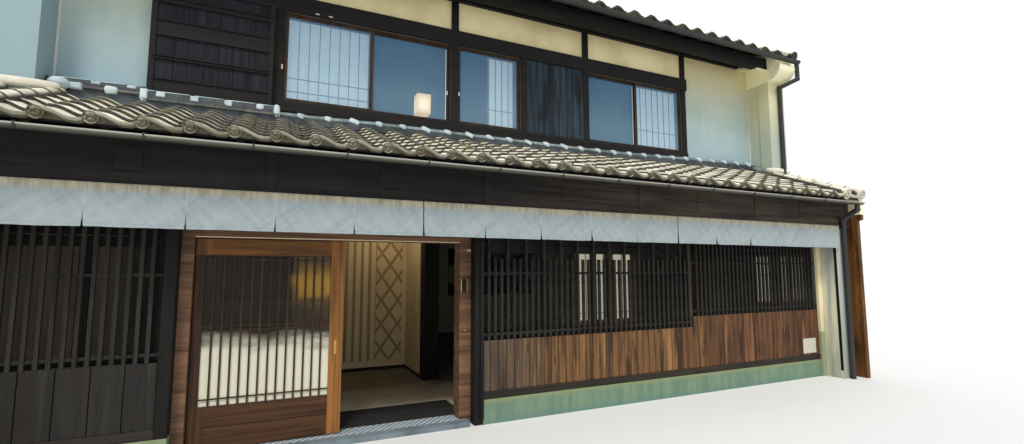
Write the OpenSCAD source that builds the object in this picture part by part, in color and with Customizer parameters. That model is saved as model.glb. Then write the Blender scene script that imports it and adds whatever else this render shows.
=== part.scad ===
// Machiya townhouse: a two-storey shop house in a row, with a tiled pent roof,
// sleeve walls at both ends, a long lattice front and a glazed sliding entrance.
// Millimetres, +Z up. +X runs along the street front and +Y into the house.
// The origin is on the ground, at the middle of the outline in plan.

/* [House] */
// Width over the two party walls
house_w = 10600; // [10200:50:11200]
// Depth from the lip of the pent roof gutter to the lip of the back gutter
house_d = 9200; // [8800:50:10000]
// Thickness of the party walls
party_t = 390; // [300:10:400]
// Top of the ground floor above the street
floor_z = 50; // [40:5:60]
// Top of the upper floor above the street
upper_floor_z = 3050; // [3000:10:3080]

/* [Front planes] */
// From the gutter lip back to the lattice
gutter_to_lattice = 640; // [600:10:700]
// From the lattice forward to the face of the fascia board
fascia_out = 307; // [300:1:320]
// From the lattice back to the sliding doors
door_back = 193; // [190:1:220]
// From the lattice back to the upper wall
upper_back = 1133; // [1100:1:1180]
// How far the upper sleeve walls stand out of the upper wall
upper_sleeve_out = 440; // [400:10:460]

/* [Ground storey] */
// Height of the pale plinth under the lattice
plinth_h = 255; // [200:5:260]
// Height of the boards under the left and main lattice bays
boards_top = 870; // [840:10:900]
// Height of the boards under the right lattice bay
boards_top_right = 1010; // [980:10:1040]
// Top of the lattice, behind the cloth
lattice_top = 2250; // [2200:10:2260]
// Width of one lattice bar
bar_w = 30; // [24:1:36]
// Spacing of the lattice bars
bar_pitch = 77.4; // [74:0.1:84]

/* [Entrance] */
// Left edge of the clear opening
door_x = -3535; // [-3560:5:-3500]
// Clear width of the opening
door_w = 2490; // [2450:10:2500]
// Clear height of the opening above the street
door_head = 1930; // [1900:10:1960]
// Width of one sliding leaf
leaf_w = 1280; // [1260:5:1300]
// Thickness of one sliding leaf
leaf_t = 36; // [30:1:40]
// Free gap round a sliding leaf
leaf_gap = 8; // [6:1:12]

/* [Cloth] */
// Left edge of the short shop curtain
cloth_x = -4860; // [-4880:5:-4850]
// Width of each of its three lengths
cloth_w = 3265; // [3255:1:3267]
// Lower edge of the curtain
cloth_z = 1960; // [1940:10:2000]
// Drop of the curtain
cloth_h = 345; // [320:5:360]

/* [Upper storey] */
// Top of the sill under the windows
upper_sill_z = 3598; // [3590:2:3610]
// Underside of the head beam
upper_head_z = 4683; // [4650:1:4720]
// Height of the head beam
head_beam_h = 203; // [180:1:220]
// Underside of the inner eave beam
eave_beam_z = 5303; // [5290:1:5320]

/* [Pent roof] */
// Height of the tile crests at the eave
pent_eave_z = 2805; // [2803:1:2810]
// Rise over run
pent_slope = 0.37; // [0.37:0.005:0.38]
// Spacing of the tile columns
tile_pitch = 311.5; // [308:0.5:314]

/* [Main roof] */
// Height of the tile crests at the eave
main_eave_z = 5438; // [5430:2:5446]
// Rise over run
main_slope = 0.45; // [0.44:0.01:0.5]
// How far the main roof runs past the party walls
verge_out = 100; // [80:10:120]

/* [Hidden] */

timber = [0.16, 0.13, 0.11];
brown = [0.43, 0.27, 0.18];
door_wood = [0.45, 0.27, 0.16];
plaster = [0.86, 0.86, 0.82];
cream = [0.82, 0.77, 0.62];
plinth_green = [0.52, 0.60, 0.50];
granite = [0.60, 0.60, 0.58];
tile_grey = [0.56, 0.53, 0.46];
gutter_taupe = [0.45, 0.43, 0.38];
dark_metal = [0.20, 0.21, 0.22];
brass = [0.80, 0.62, 0.30];
pane = [0.45, 0.58, 0.68];
paper = [0.80, 0.86, 0.87];
cloth = [0.82, 0.85, 0.87];
mat_black = [0.10, 0.10, 0.11];
lamp_paper = [1, 0.85, 0.55];

// Gap between solids that only rest on each other
seat = 0.5;

half_out = house_w / 2;
half_in = half_out - party_t;
front_y = -house_d / 2;
back_y = house_d / 2;
lattice_y = front_y + gutter_to_lattice;
fascia_y = lattice_y - fascia_out;
door_y = lattice_y + door_back;
upper_y = lattice_y + upper_back;
upper_sleeve_y = upper_y - upper_sleeve_out;

// Tile layer, boards and rafters, measured straight down from the tile crests
tile_bed = 88;
deck_t = 35;
deck_drop = tile_bed + deck_t;
// The boards start behind the hanging lips of the eave tiles, and the rafters a little further back
deck_back = 65;
rafter_back = 95;
rafter_h = 56;
rafter_w = 56;
rafter_pitch = 455;
last_rafter = 10;

// Half round gutters: their centres lie one radius inside the outline
gutter_r = 55;
gutter_t = 3;
lower_gutter_y = front_y + gutter_r;
lower_gutter_z = 2660;
pipe_r = 37;

// Pent roof plane
pent_eave_y = front_y + 100;
pent_half = half_out + 50;
function pent_z(y) = pent_eave_z + pent_slope * (y - pent_eave_y);

// Main roof plane: both eaves lie the same distance outside their walls
eave_reach = 693;
main_eave_y = upper_y - eave_reach;
main_back_eave_y = back_y - 90;
ridge_y = (main_eave_y + main_back_eave_y) / 2;
back_wall_y = main_back_eave_y - eave_reach;
main_half = half_out + verge_out;
function main_z(y) = main_eave_z + main_slope * (ridge_y - main_eave_y - abs(y - ridge_y));

// Half round end rows of the pent roof, and the edges of the waved tiles between them
end_ridge_r = 75;
end_rim_r = end_ridge_r + 5;
end_rows_left = [-4784, -5140];
end_rows_right = [4925, 5280];
pent_wave_x = [end_rows_left[0] + end_rim_r + 3, end_rows_right[0] - end_rim_r - 3];
wave_start = -4472.5;

// Walls and floors
upper_wall_t = 120;
back_wall_t = 150;
floor_t = 180;
ceiling_z = upper_floor_z - floor_t;

// Ground storey bays along the front
left_post_x = [door_x - 195, door_x - 100];
main_post_x = [door_x + door_w + 79, door_x + door_w + 188];
main_strip_x = [main_post_x[1] - 3, main_post_x[1] + 37];
bay_post_x = [2195, 2250];
bay_end_x = half_in - 80;
front_beam_z = [lattice_top, pent_z(lattice_y) - deck_drop - rafter_h - seat];
// Each bay as [left, right, top of its boards, number of sashes]
left_bay = [-bay_end_x, left_post_x[0], boards_top, 2];
main_bay = [main_strip_x[1], bay_post_x[0], boards_top, 4];
right_bay = [bay_post_x[1], bay_end_x, boards_top_right, 3];
bays = [left_bay, main_bay, right_bay];

// Upper posts and openings along the front
upper_post_w = 100;
upper_posts = [-2930, -780, 265, 1330, 3310];
frieze_posts = [-780, 1330, 3310];
shutter_box_x = [-4146, -2985];
board_panel_x = [315, 1280];
upper_openings = [[-2880, -830], [-730, 215], [1380, 3260]];
flashing_top = 3465;

module block(x, y, z) {
    translate([x[0], y[0], z[0]])
        cube([x[1] - x[0], y[1] - y[0], z[1] - z[0]]);
}

// A profile drawn as [y, z] points, run along X
module run_x(x, points) {
    translate([x[0], 0, 0])
        rotate([90, 0, 90])
            linear_extrude(x[1] - x[0])
                polygon(points);
}

module both_ends() {
    children();
    mirror([1, 0, 0]) children();
}

// A flat frame in the XZ plane, with stiles and rails of the given widths
module sash(x, y, z, stile, rail_top, rail_bottom) {
    difference() {
        block(x, y, z);
        block([x[0] + stile, x[1] - stile], [y[0] - 1, y[1] + 1], [z[0] + rail_bottom, z[1] - rail_top]);
    }
}

// Upright bars with their spacing centred between two edges
module bars(x, y, z, count, width) {
    step = (x[1] - x[0]) / (count + 1);
    for (i = [1 : count])
        block([x[0] + i * step - width / 2, x[0] + i * step + width / 2], y, z);
}

sill_x = [left_post_x[1], main_post_x[0]];
sill_y = [lattice_y - 20, door_y + 2 * leaf_t + 50];

module ground_floor() {
    color(cream)
        difference() {
            block([-half_in, half_in], [lattice_y + 160, back_wall_y - back_wall_t], [0, floor_z]);
            block(sill_x, sill_y, [-1, floor_z + 1]);
        }
}

module plinths() {
    color(plinth_green)
        for (x = [[main_strip_x[1], bay_end_x], [-bay_end_x, left_post_x[1]]])
            block(x, [lattice_y - 18, lattice_y + 160], [0, plinth_h]);
}

// A granite kerb with a bed of narrow grooves under the two leaves
groove_pitch = 19;

module door_sill() {
    color(granite)
        difference() {
            block(sill_x, sill_y, [0, floor_z]);
            for (i = [0 : 5])
                block(
                    [door_x, door_x + door_w],
                    [door_y - 9 + i * groove_pitch, door_y - 1 + i * groove_pitch],
                    [floor_z - 8, floor_z + 1]);
        }
}

// The party walls rise to the boards of both roofs
module party_wall_profile() {
    run_x([half_in, half_out], [
        [lattice_y, 0],
        [back_wall_y, 0],
        [back_wall_y, main_z(back_wall_y) - deck_drop],
        [ridge_y, main_z(ridge_y) - deck_drop],
        [upper_y, main_z(upper_y) - deck_drop],
        [upper_y, pent_z(upper_y) - deck_drop],
        [lattice_y, pent_z(lattice_y) - deck_drop]
    ]);
}

module left_party_wall() {
    color(plaster) mirror([1, 0, 0]) party_wall_profile();
}

module right_party_wall() {
    color(plaster) party_wall_profile();
}

back_window_x = [[-3900, -1300], [1300, 3900]];
back_lower_window_z = [1000, 2250];
back_upper_window_z = [upper_sill_z, upper_head_z];

module back_wall(z, window_z) {
    color(plaster)
        difference() {
            block([-half_in, half_in], [back_wall_y - back_wall_t, back_wall_y], z);
            for (x = back_window_x)
                block(x, [back_wall_y - back_wall_t - 1, back_wall_y + 1], window_z);
        }
}

module back_wall_lower() {
    back_wall([0, upper_floor_z], back_lower_window_z);
}

module back_wall_upper() {
    back_wall([upper_floor_z, main_z(back_wall_y) - deck_drop], back_upper_window_z);
}

// Back sashes slide past each other in pairs
back_sash = [45, 45, 60];
function back_sash_x(x, side) = side == 0
    ? [x[0], (x[0] + x[1]) / 2 + 20]
    : [(x[0] + x[1]) / 2 - 20, x[1]];
function back_sash_y(side) = back_wall_y - 60 - side * 35;

module back_windows() {
    color(timber)
        for (x = back_window_x, z = [back_lower_window_z, back_upper_window_z], side = [0, 1])
            sash(
                back_sash_x(x, side),
                [back_sash_y(side), back_sash_y(side) + 30],
                z, back_sash[0], back_sash[1], back_sash[2]);
}

module upper_floor() {
    color(brown)
        block(
            [-half_in, half_in],
            [upper_y + upper_wall_t, back_wall_y - back_wall_t],
            [ceiling_z, upper_floor_z]);
}

// The main post stands on a stone, with a cover strip over its right edge
post_stone_h = 200;

module front_posts() {
    color(timber) {
        block(left_post_x, [lattice_y - 12, lattice_y + 120], [plinth_h, lattice_top]);
        block(main_post_x, [lattice_y - 12, lattice_y + 120], [post_stone_h, lattice_top]);
        block(main_strip_x, [lattice_y - 42, lattice_y - 12], [60, lattice_top]);
        block(bay_post_x, [lattice_y - 12, lattice_y + 120], [plinth_h, lattice_top]);
    }
    color(granite)
        block([main_post_x[0], main_strip_x[1]], [lattice_y - 12, lattice_y + 120], [0, post_stone_h]);
}

module front_beam() {
    color(timber)
        block([-half_in, half_in], [lattice_y, lattice_y + 150], front_beam_z);
}

// A board on edge under the pent eave, with a rail along its foot,
// short posts across it and a plain plate in the middle of each panel
fascia_z = [2270, 2705];
fascia_rail_z = [2270, 2400];
fascia_t = 27;
fascia_half = half_out - 31;
fascia_post_pitch = 2040;
fascia_post_start = 1140;
fascia_post_w = 80;
plate_w = 190;
plate_z = [2415, 2616];

module fascia_board() {
    color(timber) {
        block([-fascia_half, fascia_half], [fascia_y, fascia_y + fascia_t], fascia_z);
        block([-fascia_half, fascia_half], [fascia_y - 8, fascia_y], fascia_rail_z);
        for (i = [-2 : 2]) {
            post = fascia_post_start + i * fascia_post_pitch;
            plate = post - fascia_post_pitch / 2;
            block([post - fascia_post_w / 2, post + fascia_post_w / 2], [fascia_y - 14, fascia_y], fascia_z);
            if (plate > -half_in)
                block([plate - plate_w / 2, plate + plate_w / 2], [fascia_y - 8, fascia_y], plate_z);
        }
    }
}

// The purlin behind the fascia carries the feet of the pent rafters
purlin_y = [fascia_y + fascia_t, fascia_y + fascia_t + 120];

module eave_purlin() {
    color(timber)
        block([-fascia_half, fascia_half], purlin_y, [2560, pent_z(purlin_y[0]) - deck_drop - rafter_h]);
}

// The lower sleeve walls carry the ends of the pent roof. Each has an upright slot
// near its front edge and a pilaster where the plinth and the boards end.
lower_sleeve_t = 190;
slot_y = [fascia_y + 6, fascia_y + 50];

module lower_sleeve() {
    difference() {
        run_x([half_in, half_in + lower_sleeve_t], [
            [fascia_y, 0],
            [lattice_y, 0],
            [lattice_y, pent_z(lattice_y) - deck_drop],
            [purlin_y[1], pent_z(purlin_y[1]) - deck_drop],
            [purlin_y[1], fascia_z[0] - 2],
            [fascia_y, fascia_z[0] - 2]
        ]);
        block([half_in - 1, half_in + 60], slot_y, [120, 2180]);
    }
    block([bay_end_x, half_in], [lattice_y - 40, lattice_y], [0, lattice_top]);
}

module lower_sleeves() {
    color(plaster) {
        lower_sleeve();
        mirror([1, 0, 0]) lower_sleeve();
    }
}

// Outside each lower sleeve a timber cheek with a bracket head takes the roof's corner
cheek_x = [fascia_half + 1, pent_half - 5];
cheek_y = fascia_y - 123;
cheek_head_z = 2385;
cheek_top_z = 2480;
bracket_y = fascia_y - 183;

module end_cheeks() {
    color(brown)
        both_ends()
            run_x(cheek_x, [
                [lattice_y, 0],
                [cheek_y, 0],
                [cheek_y, cheek_head_z],
                [bracket_y, cheek_head_z + 15],
                [bracket_y, cheek_top_z],
                [lattice_y, cheek_top_z]
            ]);
}

// The upper sleeve walls stand on the pent roof, so their feet follow its slope.
// The back part of their inner face lies a little deeper than the front part.
corbel_z = 4960;
sleeve_step = 20;
sleeve_step_y = upper_y - 233;
tile_wave = 58;
function flat_tile_z(y) = pent_z(y) - tile_wave / cos(atan(pent_slope)) + seat;

module upper_sleeve() {
    difference() {
        run_x([half_in, half_out], [
            [upper_sleeve_y, flat_tile_z(upper_sleeve_y)],
            [upper_y, flat_tile_z(upper_y)],
            [upper_y, corbel_z],
            [upper_sleeve_y, corbel_z]
        ]);
        block(
            [half_in - 1, half_in + sleeve_step],
            [sleeve_step_y, upper_y + 1],
            [flat_tile_z(sleeve_step_y) - 1, corbel_z + 1]);
    }
}

module upper_sleeves() {
    color(plaster) both_ends() upper_sleeve();
}

// Boards under the lattice, over a sill beam that stands a little proud
board_t = 24;
sill_beam_top = plinth_h + 80;

module board_row(bay) {
    run_x([bay[0], bay[1]], [
        [lattice_y + board_t, plinth_h],
        [lattice_y + board_t, bay[2]],
        [lattice_y, bay[2]],
        [lattice_y, sill_beam_top],
        [lattice_y - 10, sill_beam_top],
        [lattice_y - 10, plinth_h]
    ]);
}

module wainscot() {
    color(brown)
        for (bay = bays)
            board_row(bay);
}

// A lattice bay: upright bars fused with the rails behind them.
// One bar in three runs to the top where short_bars is true.
short_top = 1760;
lattice_t = 34;
lattice_rail_h = 28;

module lattice(bay, rails, short_bars) {
    count = round((bay[1] - bay[0]) / bar_pitch) - 1;
    step = (bay[1] - bay[0]) / (count + 1);
    for (i = [1 : count]) {
        top = short_bars && i % 3 != 1 ? short_top : lattice_top;
        mid = bay[0] + i * step;
        block([mid - bar_w / 2, mid + bar_w / 2], [lattice_y, lattice_y + lattice_t], [bay[2], top]);
    }
    for (rail = rails)
        block(
            [bay[0], bay[1]],
            [lattice_y + lattice_t / 2, lattice_y + lattice_t],
            [rail, rail + lattice_rail_h]);
}

module main_lattice() {
    color(timber) lattice(main_bay, [920, 1581, 2200], true);
}

module right_lattice() {
    color(timber) lattice(right_bay, [1060, 1711, 2200], false);
}

module left_lattice() {
    color(timber) lattice(left_bay, [920, 1581, 2200], false);
}

// Fixed windows behind the lattices, with a board across the wall above them
window_y = lattice_y + 70;
window_t = 32;
window_top = 1920;
ground_sash = [40, 90, 50];
function bay_sash(bay, i) = [
    bay[0] + i * (bay[1] - bay[0]) / bay[3],
    bay[0] + (i + 1) * (bay[1] - bay[0]) / bay[3]
];

module ground_windows() {
    color(timber)
        for (bay = bays) {
            for (i = [0 : bay[3] - 1])
                sash(
                    bay_sash(bay, i) + [1, -1],
                    [window_y, window_y + window_t],
                    [bay[2], window_top], ground_sash[0], ground_sash[1], ground_sash[2]);
            block([bay[0], bay[1]], [window_y, window_y + window_t], [window_top + 8, lattice_top]);
        }
}

module shoji(x, y, z, columns, rail_heights) {
    stile = 28;
    inner_x = x + [stile, -stile];
    inner_z = z + [60, -32];
    sash(x, [y, y + 24], z, stile, 32, 60);
    block(inner_x, [y + 16, y + 20], inner_z);
    bars(inner_x, [y + 4, y + 16], inner_z, columns - 1, 8);
    for (mid = rail_heights)
        block(inner_x, [y + 4, y + 16], [mid - 4, mid + 4]);
}

module door_frame() {
    color(door_wood) {
        jamb_y = [lattice_y + 120, door_y + 110];
        block([door_x - 100, door_x], jamb_y, [floor_z, door_head]);
        block([door_x + door_w, door_x + door_w + 100], jamb_y, [floor_z, door_head]);
        block([door_x - 100, door_x + door_w + 100], jamb_y, [door_head, lattice_top]);
    }
}

// One glazed lattice leaf, closed at its left stop. Its foot is two rails
// with a board set back between them, and its bars cross four thin rails.
leaf_z = [floor_z + leaf_gap, door_head - leaf_gap];
leaf_stile = 75;
leaf_pull_stile = 125;
leaf_board_z = [235, 355];
leaf_glass_z = [430, 1770];
leaf_rails = [490, 1090, 1130, 1730];
leaf_bars = 13;
leaf_bar_w = 16;
leaf_x = [door_x + leaf_gap, door_x + leaf_gap + leaf_w];
leaf_inner_x = leaf_x + [leaf_stile, -leaf_pull_stile];

module door_leaf(y) {
    difference() {
        block(leaf_x, [y, y + leaf_t], leaf_z);
        block(leaf_inner_x, [y - 1, y + leaf_t + 1], leaf_glass_z);
        block(leaf_inner_x, [y - 1, y + 6], leaf_board_z);
    }
    bars(leaf_inner_x, [y, y + 14], leaf_glass_z, leaf_bars, leaf_bar_w);
    for (mid = leaf_rails)
        block(leaf_inner_x, [y + 4, y + 14], [mid - 6, mid + 6]);
}

front_leaf_y = door_y;
rear_leaf_y = door_y + leaf_t + 10;

module leaf_glass(y) {
    block(leaf_inner_x, [y + 18, y + 24], leaf_glass_z);
}

pull_z = 881;
pull_mid = leaf_x[1] - 67;

module leaf_pull(y) {
    block([pull_mid - 12, pull_mid + 12], [y - 2, y], [pull_z - 65, pull_z + 65]);
}

module front_leaf() {
    color(door_wood) door_leaf(front_leaf_y);
}

module front_leaf_glass() {
    color(pane) leaf_glass(front_leaf_y);
}

module front_leaf_pull() {
    color(brass) leaf_pull(front_leaf_y);
}

module rear_leaf() {
    color(door_wood) door_leaf(rear_leaf_y);
}

module rear_leaf_glass() {
    color(pane) leaf_glass(rear_leaf_y);
}

module rear_leaf_pull() {
    color(brass) leaf_pull(rear_leaf_y + leaf_t + 2);
}

// The pale wall and the dark pillar that show through the doorway
partition_x = [-2600, -745];
partition_y = -650;
partition_t = 120;
pillar_x = [-860, -640];
pillar_y = [-1780, -1560];

module inner_partition() {
    color(cream) {
        block(partition_x, [partition_y, partition_y + partition_t], [floor_z, ceiling_z]);
        block([partition_x[1] - partition_t, partition_x[1]], [pillar_y[1], partition_y],
            [floor_z, ceiling_z]);
    }
}

module inner_pillar() {
    color(timber)
        block(pillar_x, pillar_y, [floor_z, ceiling_z]);
}

module entrance_mat() {
    color(mat_black)
        block([-2115, -916], [door_y + 160, -3000], [floor_z, floor_z + 8]);
}

// A round rail on short hooks holds the curtain in front of the fascia
cloth_t = 6;
cloth_top = cloth_z + cloth_h;
cloth_y = fascia_y - 52;
cloth_rail_r = 9;
cloth_rail_y = cloth_y + cloth_t + cloth_rail_r + 1;
cloth_rail_z = cloth_top - 14;

module cloth_rail() {
    color(timber) {
        translate([cloth_x, cloth_rail_y, cloth_rail_z])
            rotate([0, 90, 0])
                cylinder(r = cloth_rail_r, h = 3 * cloth_w, $fn = 24);
        for (i = [0 : 3]) {
            x = cloth_x + 12 + i * (cloth_w - 8);
            block([x - 6, x + 6], [cloth_rail_y, fascia_y - 8], [cloth_rail_z - 5, cloth_rail_z + 5]);
        }
    }
}

module cloth_sheet(index) {
    x = cloth_x + index * cloth_w;
    color(cloth)
        block([x + 4, x + cloth_w - 4], [cloth_y, cloth_y + cloth_t], [cloth_z, cloth_top]);
}

module cloth_left() {
    cloth_sheet(0);
}

module cloth_middle() {
    cloth_sheet(1);
}

module cloth_right() {
    cloth_sheet(2);
}

// A band of even depth under the pent roof's crest line, from one y to another
module roof_band(x, y, top, bottom) {
    run_x(x, [
        [y[0], pent_z(y[0]) - top],
        [y[1], pent_z(y[1]) - top],
        [y[1], pent_z(y[1]) - bottom],
        [y[0], pent_z(y[0]) - bottom]
    ]);
}

// Boards on rafters, from the eave to the upper wall
module pent_boards() {
    color(timber) {
        roof_band([-pent_half, pent_half], [pent_eave_y + deck_back, upper_y], tile_bed + seat, deck_drop);
        for (i = [-last_rafter : last_rafter])
            roof_band(
                [i * rafter_pitch - rafter_w / 2, i * rafter_pitch + rafter_w / 2],
                [pent_eave_y + rafter_back, upper_y],
                deck_drop + seat, deck_drop + rafter_h);
    }
}

// The waved top of the tiles: a narrow crest, a long fall to the right and a short rise.
// Heights are measured from the crest line, square to the slope.
trough_at = 0.72;
wave_steps = 10;
function crest_turn(f) = f < trough_at
    ? 180 * pow(f / trough_at, 0.8)
    : 180 + 180 * (f - trough_at) / (1 - trough_at);
function wave_h(x) =
    let (u = (x - wave_start) / tile_pitch)
    tile_wave * (cos(crest_turn(u - floor(u))) - 1) / 2;
function wave_line(x, drop = 0) =
    let (n = ceil((x[1] - x[0]) / tile_pitch * wave_steps))
    [for (i = [0 : n]) let (at = x[0] + i * (x[1] - x[0]) / n) [at, wave_h(at) - drop]];

// The lower edge of an eave tile: a shallow lip with a round disc at each crest
disc_r = 47;
disc_sink = 50;
lip_drop = 97;
function lip_h(x) =
    let (u = (x - wave_start) / tile_pitch + 0.5)
    let (off = (u - floor(u) - 0.5) * tile_pitch)
    abs(off) < disc_r ? min(-lip_drop, -disc_sink - sqrt(disc_r * disc_r - off * off)) : -lip_drop;
function lip_line(x) =
    let (n = ceil((x[1] - x[0]) / tile_pitch * wave_steps))
    [for (i = [n : -1 : 0]) let (at = x[0] + i * (x[1] - x[0]) / n) [at, lip_h(at)]];

// A profile drawn as [x, height] points, run down a slope from y = top to y = foot
module run_down(points, slope, foot, top, foot_z) {
    angle = atan(slope);
    translate([0, top, foot_z + slope * (top - foot)])
        rotate([90 + angle, 0, 0])
            linear_extrude((top - foot) / cos(angle))
                polygon(points);
}

eave_tile_run = 22;

// A tile layer with plain strips beyond the waved stretch, and its eave course
module tile_slope(wave_x, half, slope, foot, top, foot_z) {
    depth = tile_bed * cos(atan(slope));
    strip = tile_wave;
    run_down(
        concat(
            [[-half, -depth], [-half, -strip], [wave_x[0] - 1, -strip]],
            wave_line(wave_x),
            [[wave_x[1] + 1, -strip], [half, -strip], [half, -depth]]),
        slope, foot + eave_tile_run + seat, top, foot_z + slope * (eave_tile_run + seat));
    run_down(
        concat(wave_line(wave_x), lip_line(wave_x)),
        slope, foot, foot + eave_tile_run, foot_z);
}

// The upper end of the layer stops short of the wall by its own lean
module pent_tiles() {
    color(tile_grey)
        tile_slope(pent_wave_x, pent_half, pent_slope, pent_eave_y, upper_y - 30, pent_eave_z);
}

// One half round row down a slope, with a rim at the foot of each of its tiles
row_tile = 270;
row_sink = 40;

module end_row(x, slope, foot, top, foot_z) {
    angle = atan(slope);
    length = (top - foot) / cos(angle);
    sink = tile_wave - seat;
    translate([x, foot, foot_z])
        rotate([angle - 90, 0, 0])
            difference() {
                union() {
                    translate([0, row_sink, 0]) cylinder(r = end_ridge_r, h = length, $fn = 40);
                    for (at = [0 : row_tile : length - 60])
                        translate([0, row_sink, at]) cylinder(r = end_rim_r, h = 40, $fn = 40);
                }
                translate([-end_ridge_r - 10, sink, -1])
                    cube([2 * end_ridge_r + 20, end_ridge_r, length + 2]);
            }
}

module pent_end_ridges() {
    color(tile_grey) {
        end_row(end_rows_left[0], pent_slope, pent_eave_y, step_front_y - step_cover_r - 5, pent_eave_z);
        end_row(end_rows_left[1], pent_slope, pent_eave_y, upper_sleeve_y - 20, pent_eave_z);
        for (x = end_rows_right)
            end_row(x, pent_slope, pent_eave_y, upper_sleeve_y - 20, pent_eave_z);
    }
}

// A half round cover course on a mortar bed, where the pent roof meets the upper wall.
// In front of the shutter box it steps forward, with a second small course along its foot.
cover_r = 50;
cover_y = upper_y - 56;
bed_front_y = upper_y - 108;
step_cover_y = upper_y - 190;
step_front_y = upper_y - 250;
step_cover_r = 30;
step_x = [-half_in, shutter_box_x[1] + 82];

module round_course(x, y, z, r) {
    translate([x[0], y, z])
        rotate([0, 90, 0])
            cylinder(r = r, h = x[1] - x[0], $fn = 40);
}

module wall_flashing() {
    bed_top = flashing_top - cover_r;
    low = bed_top - 250;
    cut_y = step_front_y - 50;
    color(tile_grey)
        difference() {
            union() {
                block([-half_in, half_in], [bed_front_y, upper_y], [low, bed_top]);
                block(step_x, [step_front_y, upper_y], [low, bed_top]);
                round_course([step_x[1], half_in], cover_y, bed_top, cover_r);
                round_course(step_x, step_cover_y, bed_top, cover_r);
                round_course(step_x, step_front_y, pent_z(step_front_y) + 15, step_cover_r);
            }
            run_x([-half_in - 1, half_in + 1], [
                [cut_y, low - 1],
                [cut_y, pent_z(cut_y) + seat],
                [upper_y + 1, pent_z(upper_y + 1) + seat],
                [upper_y + 1, low - 1]
            ]);
        }
}

// The ends of the trough are closed
module half_round_gutter(y, z, half) {
    side = gutter_r + 1;
    translate([-half, y, z])
        rotate([0, 90, 0])
            difference() {
                cylinder(r = gutter_r, h = 2 * half, $fn = 40);
                translate([0, 0, gutter_t])
                    cylinder(r = gutter_r - gutter_t, h = 2 * half - 2 * gutter_t, $fn = 40);
                translate([-side, -side, -1])
                    cube([side, 2 * side, 2 * half + 2]);
            }
}

// A pipe along a list of points, with a round collar at each bend
module pipe_run(points) {
    for (i = [0 : len(points) - 2]) {
        run = points[i + 1] - points[i];
        length = norm(run);
        translate(points[i])
            rotate([0, acos(run[2] / length), atan2(run[1], run[0])])
                cylinder(r = pipe_r, h = length, $fn = 32);
    }
    for (i = [1 : len(points) - 2])
        translate(points[i]) sphere(r = pipe_r + 4, $fn = 32);
}

lower_pipe_x = 5040;
lower_pipe_y = fascia_y - 50;

module lower_rainwater() {
    outlet = [lower_pipe_x, lower_gutter_y, lower_gutter_z - gutter_r - seat];
    color(gutter_taupe)
        half_round_gutter(lower_gutter_y, lower_gutter_z, pent_half - 200);
    color(dark_metal)
        pipe_run([
            outlet, outlet - [0, 0, 70],
            [lower_pipe_x, lower_pipe_y, 2400], [lower_pipe_x, lower_pipe_y, 0]
        ]);
}

module upper_wall() {
    top = main_z(upper_y) - deck_drop - rafter_h;
    color(plaster)
        difference() {
            block([-half_in, half_in], [upper_y, upper_y + upper_wall_t], [ceiling_z, top]);
            for (x = upper_openings)
                block(x, [upper_y - 1, upper_y + upper_wall_t + 1], [flashing_top, upper_head_z]);
        }
}

module upper_post(x, z) {
    block([x - upper_post_w / 2, x + upper_post_w / 2], [upper_y - 30, upper_y], z);
}

module upper_frame() {
    head_top = upper_head_z + head_beam_h;
    sill_ends = [upper_posts[0] - upper_post_w / 2, upper_posts[4] + upper_post_w / 2];
    color(timber) {
        for (x = upper_posts)
            upper_post(x, [flashing_top, upper_head_z]);
        for (x = frieze_posts)
            upper_post(x, [head_top, eave_beam_z]);
        block([shutter_box_x[0], upper_posts[4] + 70], [upper_y - 45, upper_y], [upper_head_z, head_top]);
        block(sill_ends, [upper_y - 45, upper_y], [flashing_top, upper_sill_z]);
        for (x = upper_openings)
            block(x, [upper_y - 1, upper_y + upper_wall_t], [flashing_top, upper_sill_z]);
    }
}

// Upper sashes, as [left, right] of each. Neighbours slide past each other.
upper_sash_x = [[-2880, -1850], [-1890, -830], [-730, 215], [1380, 2340], [2300, 3260]];
upper_sash = [42, 42, 50];
sash_z = [upper_sill_z, upper_head_z];

function upper_sash_y(i) = upper_y + 20 + (i % 2) * 34;

module upper_sashes() {
    color(timber)
        for (i = [0 : len(upper_sash_x) - 1])
            sash(
                upper_sash_x[i], [upper_sash_y(i), upper_sash_y(i) + 30],
                sash_z, upper_sash[0], upper_sash[1], upper_sash[2]);
}

// Every pane of the house's fixed windows, one solid each
pane_t = 6;

module glass_in(x, y, z, frame) {
    block(x + [frame[0], -frame[0]], [y + 12, y + 12 + pane_t], [z[0] + frame[2], z[1] - frame[1]]);
}

module window_glass() {
    color(pane) {
        for (bay = bays)
            for (i = [0 : bay[3] - 1])
                glass_in(bay_sash(bay, i) + [1, -1], window_y, [bay[2], window_top], ground_sash);
        for (i = [0 : len(upper_sash_x) - 1])
            glass_in(upper_sash_x[i], upper_sash_y(i), sash_z, upper_sash);
        for (x = back_window_x, z = [back_lower_window_z, back_upper_window_z], side = [0, 1])
            glass_in(back_sash_x(x, side), back_sash_y(side), z, back_sash);
    }
}

// Wood and paper screens that stand behind some of the windows
main_screen_x = [[445, 900], [990, 1320]];
right_screen_x = [[3630, 4180], [4190, 4780]];
upper_screen_x = [[-2860, -1870], [-260, 200], [2330, 3250]];
screen_top = 1870;

module paper_screens() {
    upper_z = [upper_sill_z + 5, upper_head_z - 5];
    upper_rails = [for (i = [1 : 6]) upper_z[0] + 60 + i * 135];
    color(paper) {
        for (x = main_screen_x)
            shoji(x, window_y + 45, [960, screen_top], 3, [1104, 1485]);
        for (x = right_screen_x)
            shoji(x, window_y + 45, [1100, screen_top], 3, [1240, 1560]);
        for (x = upper_screen_x)
            shoji(x, upper_y + 95, upper_z, round((x[1] - x[0]) / 160), upper_rails);
    }
}

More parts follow.
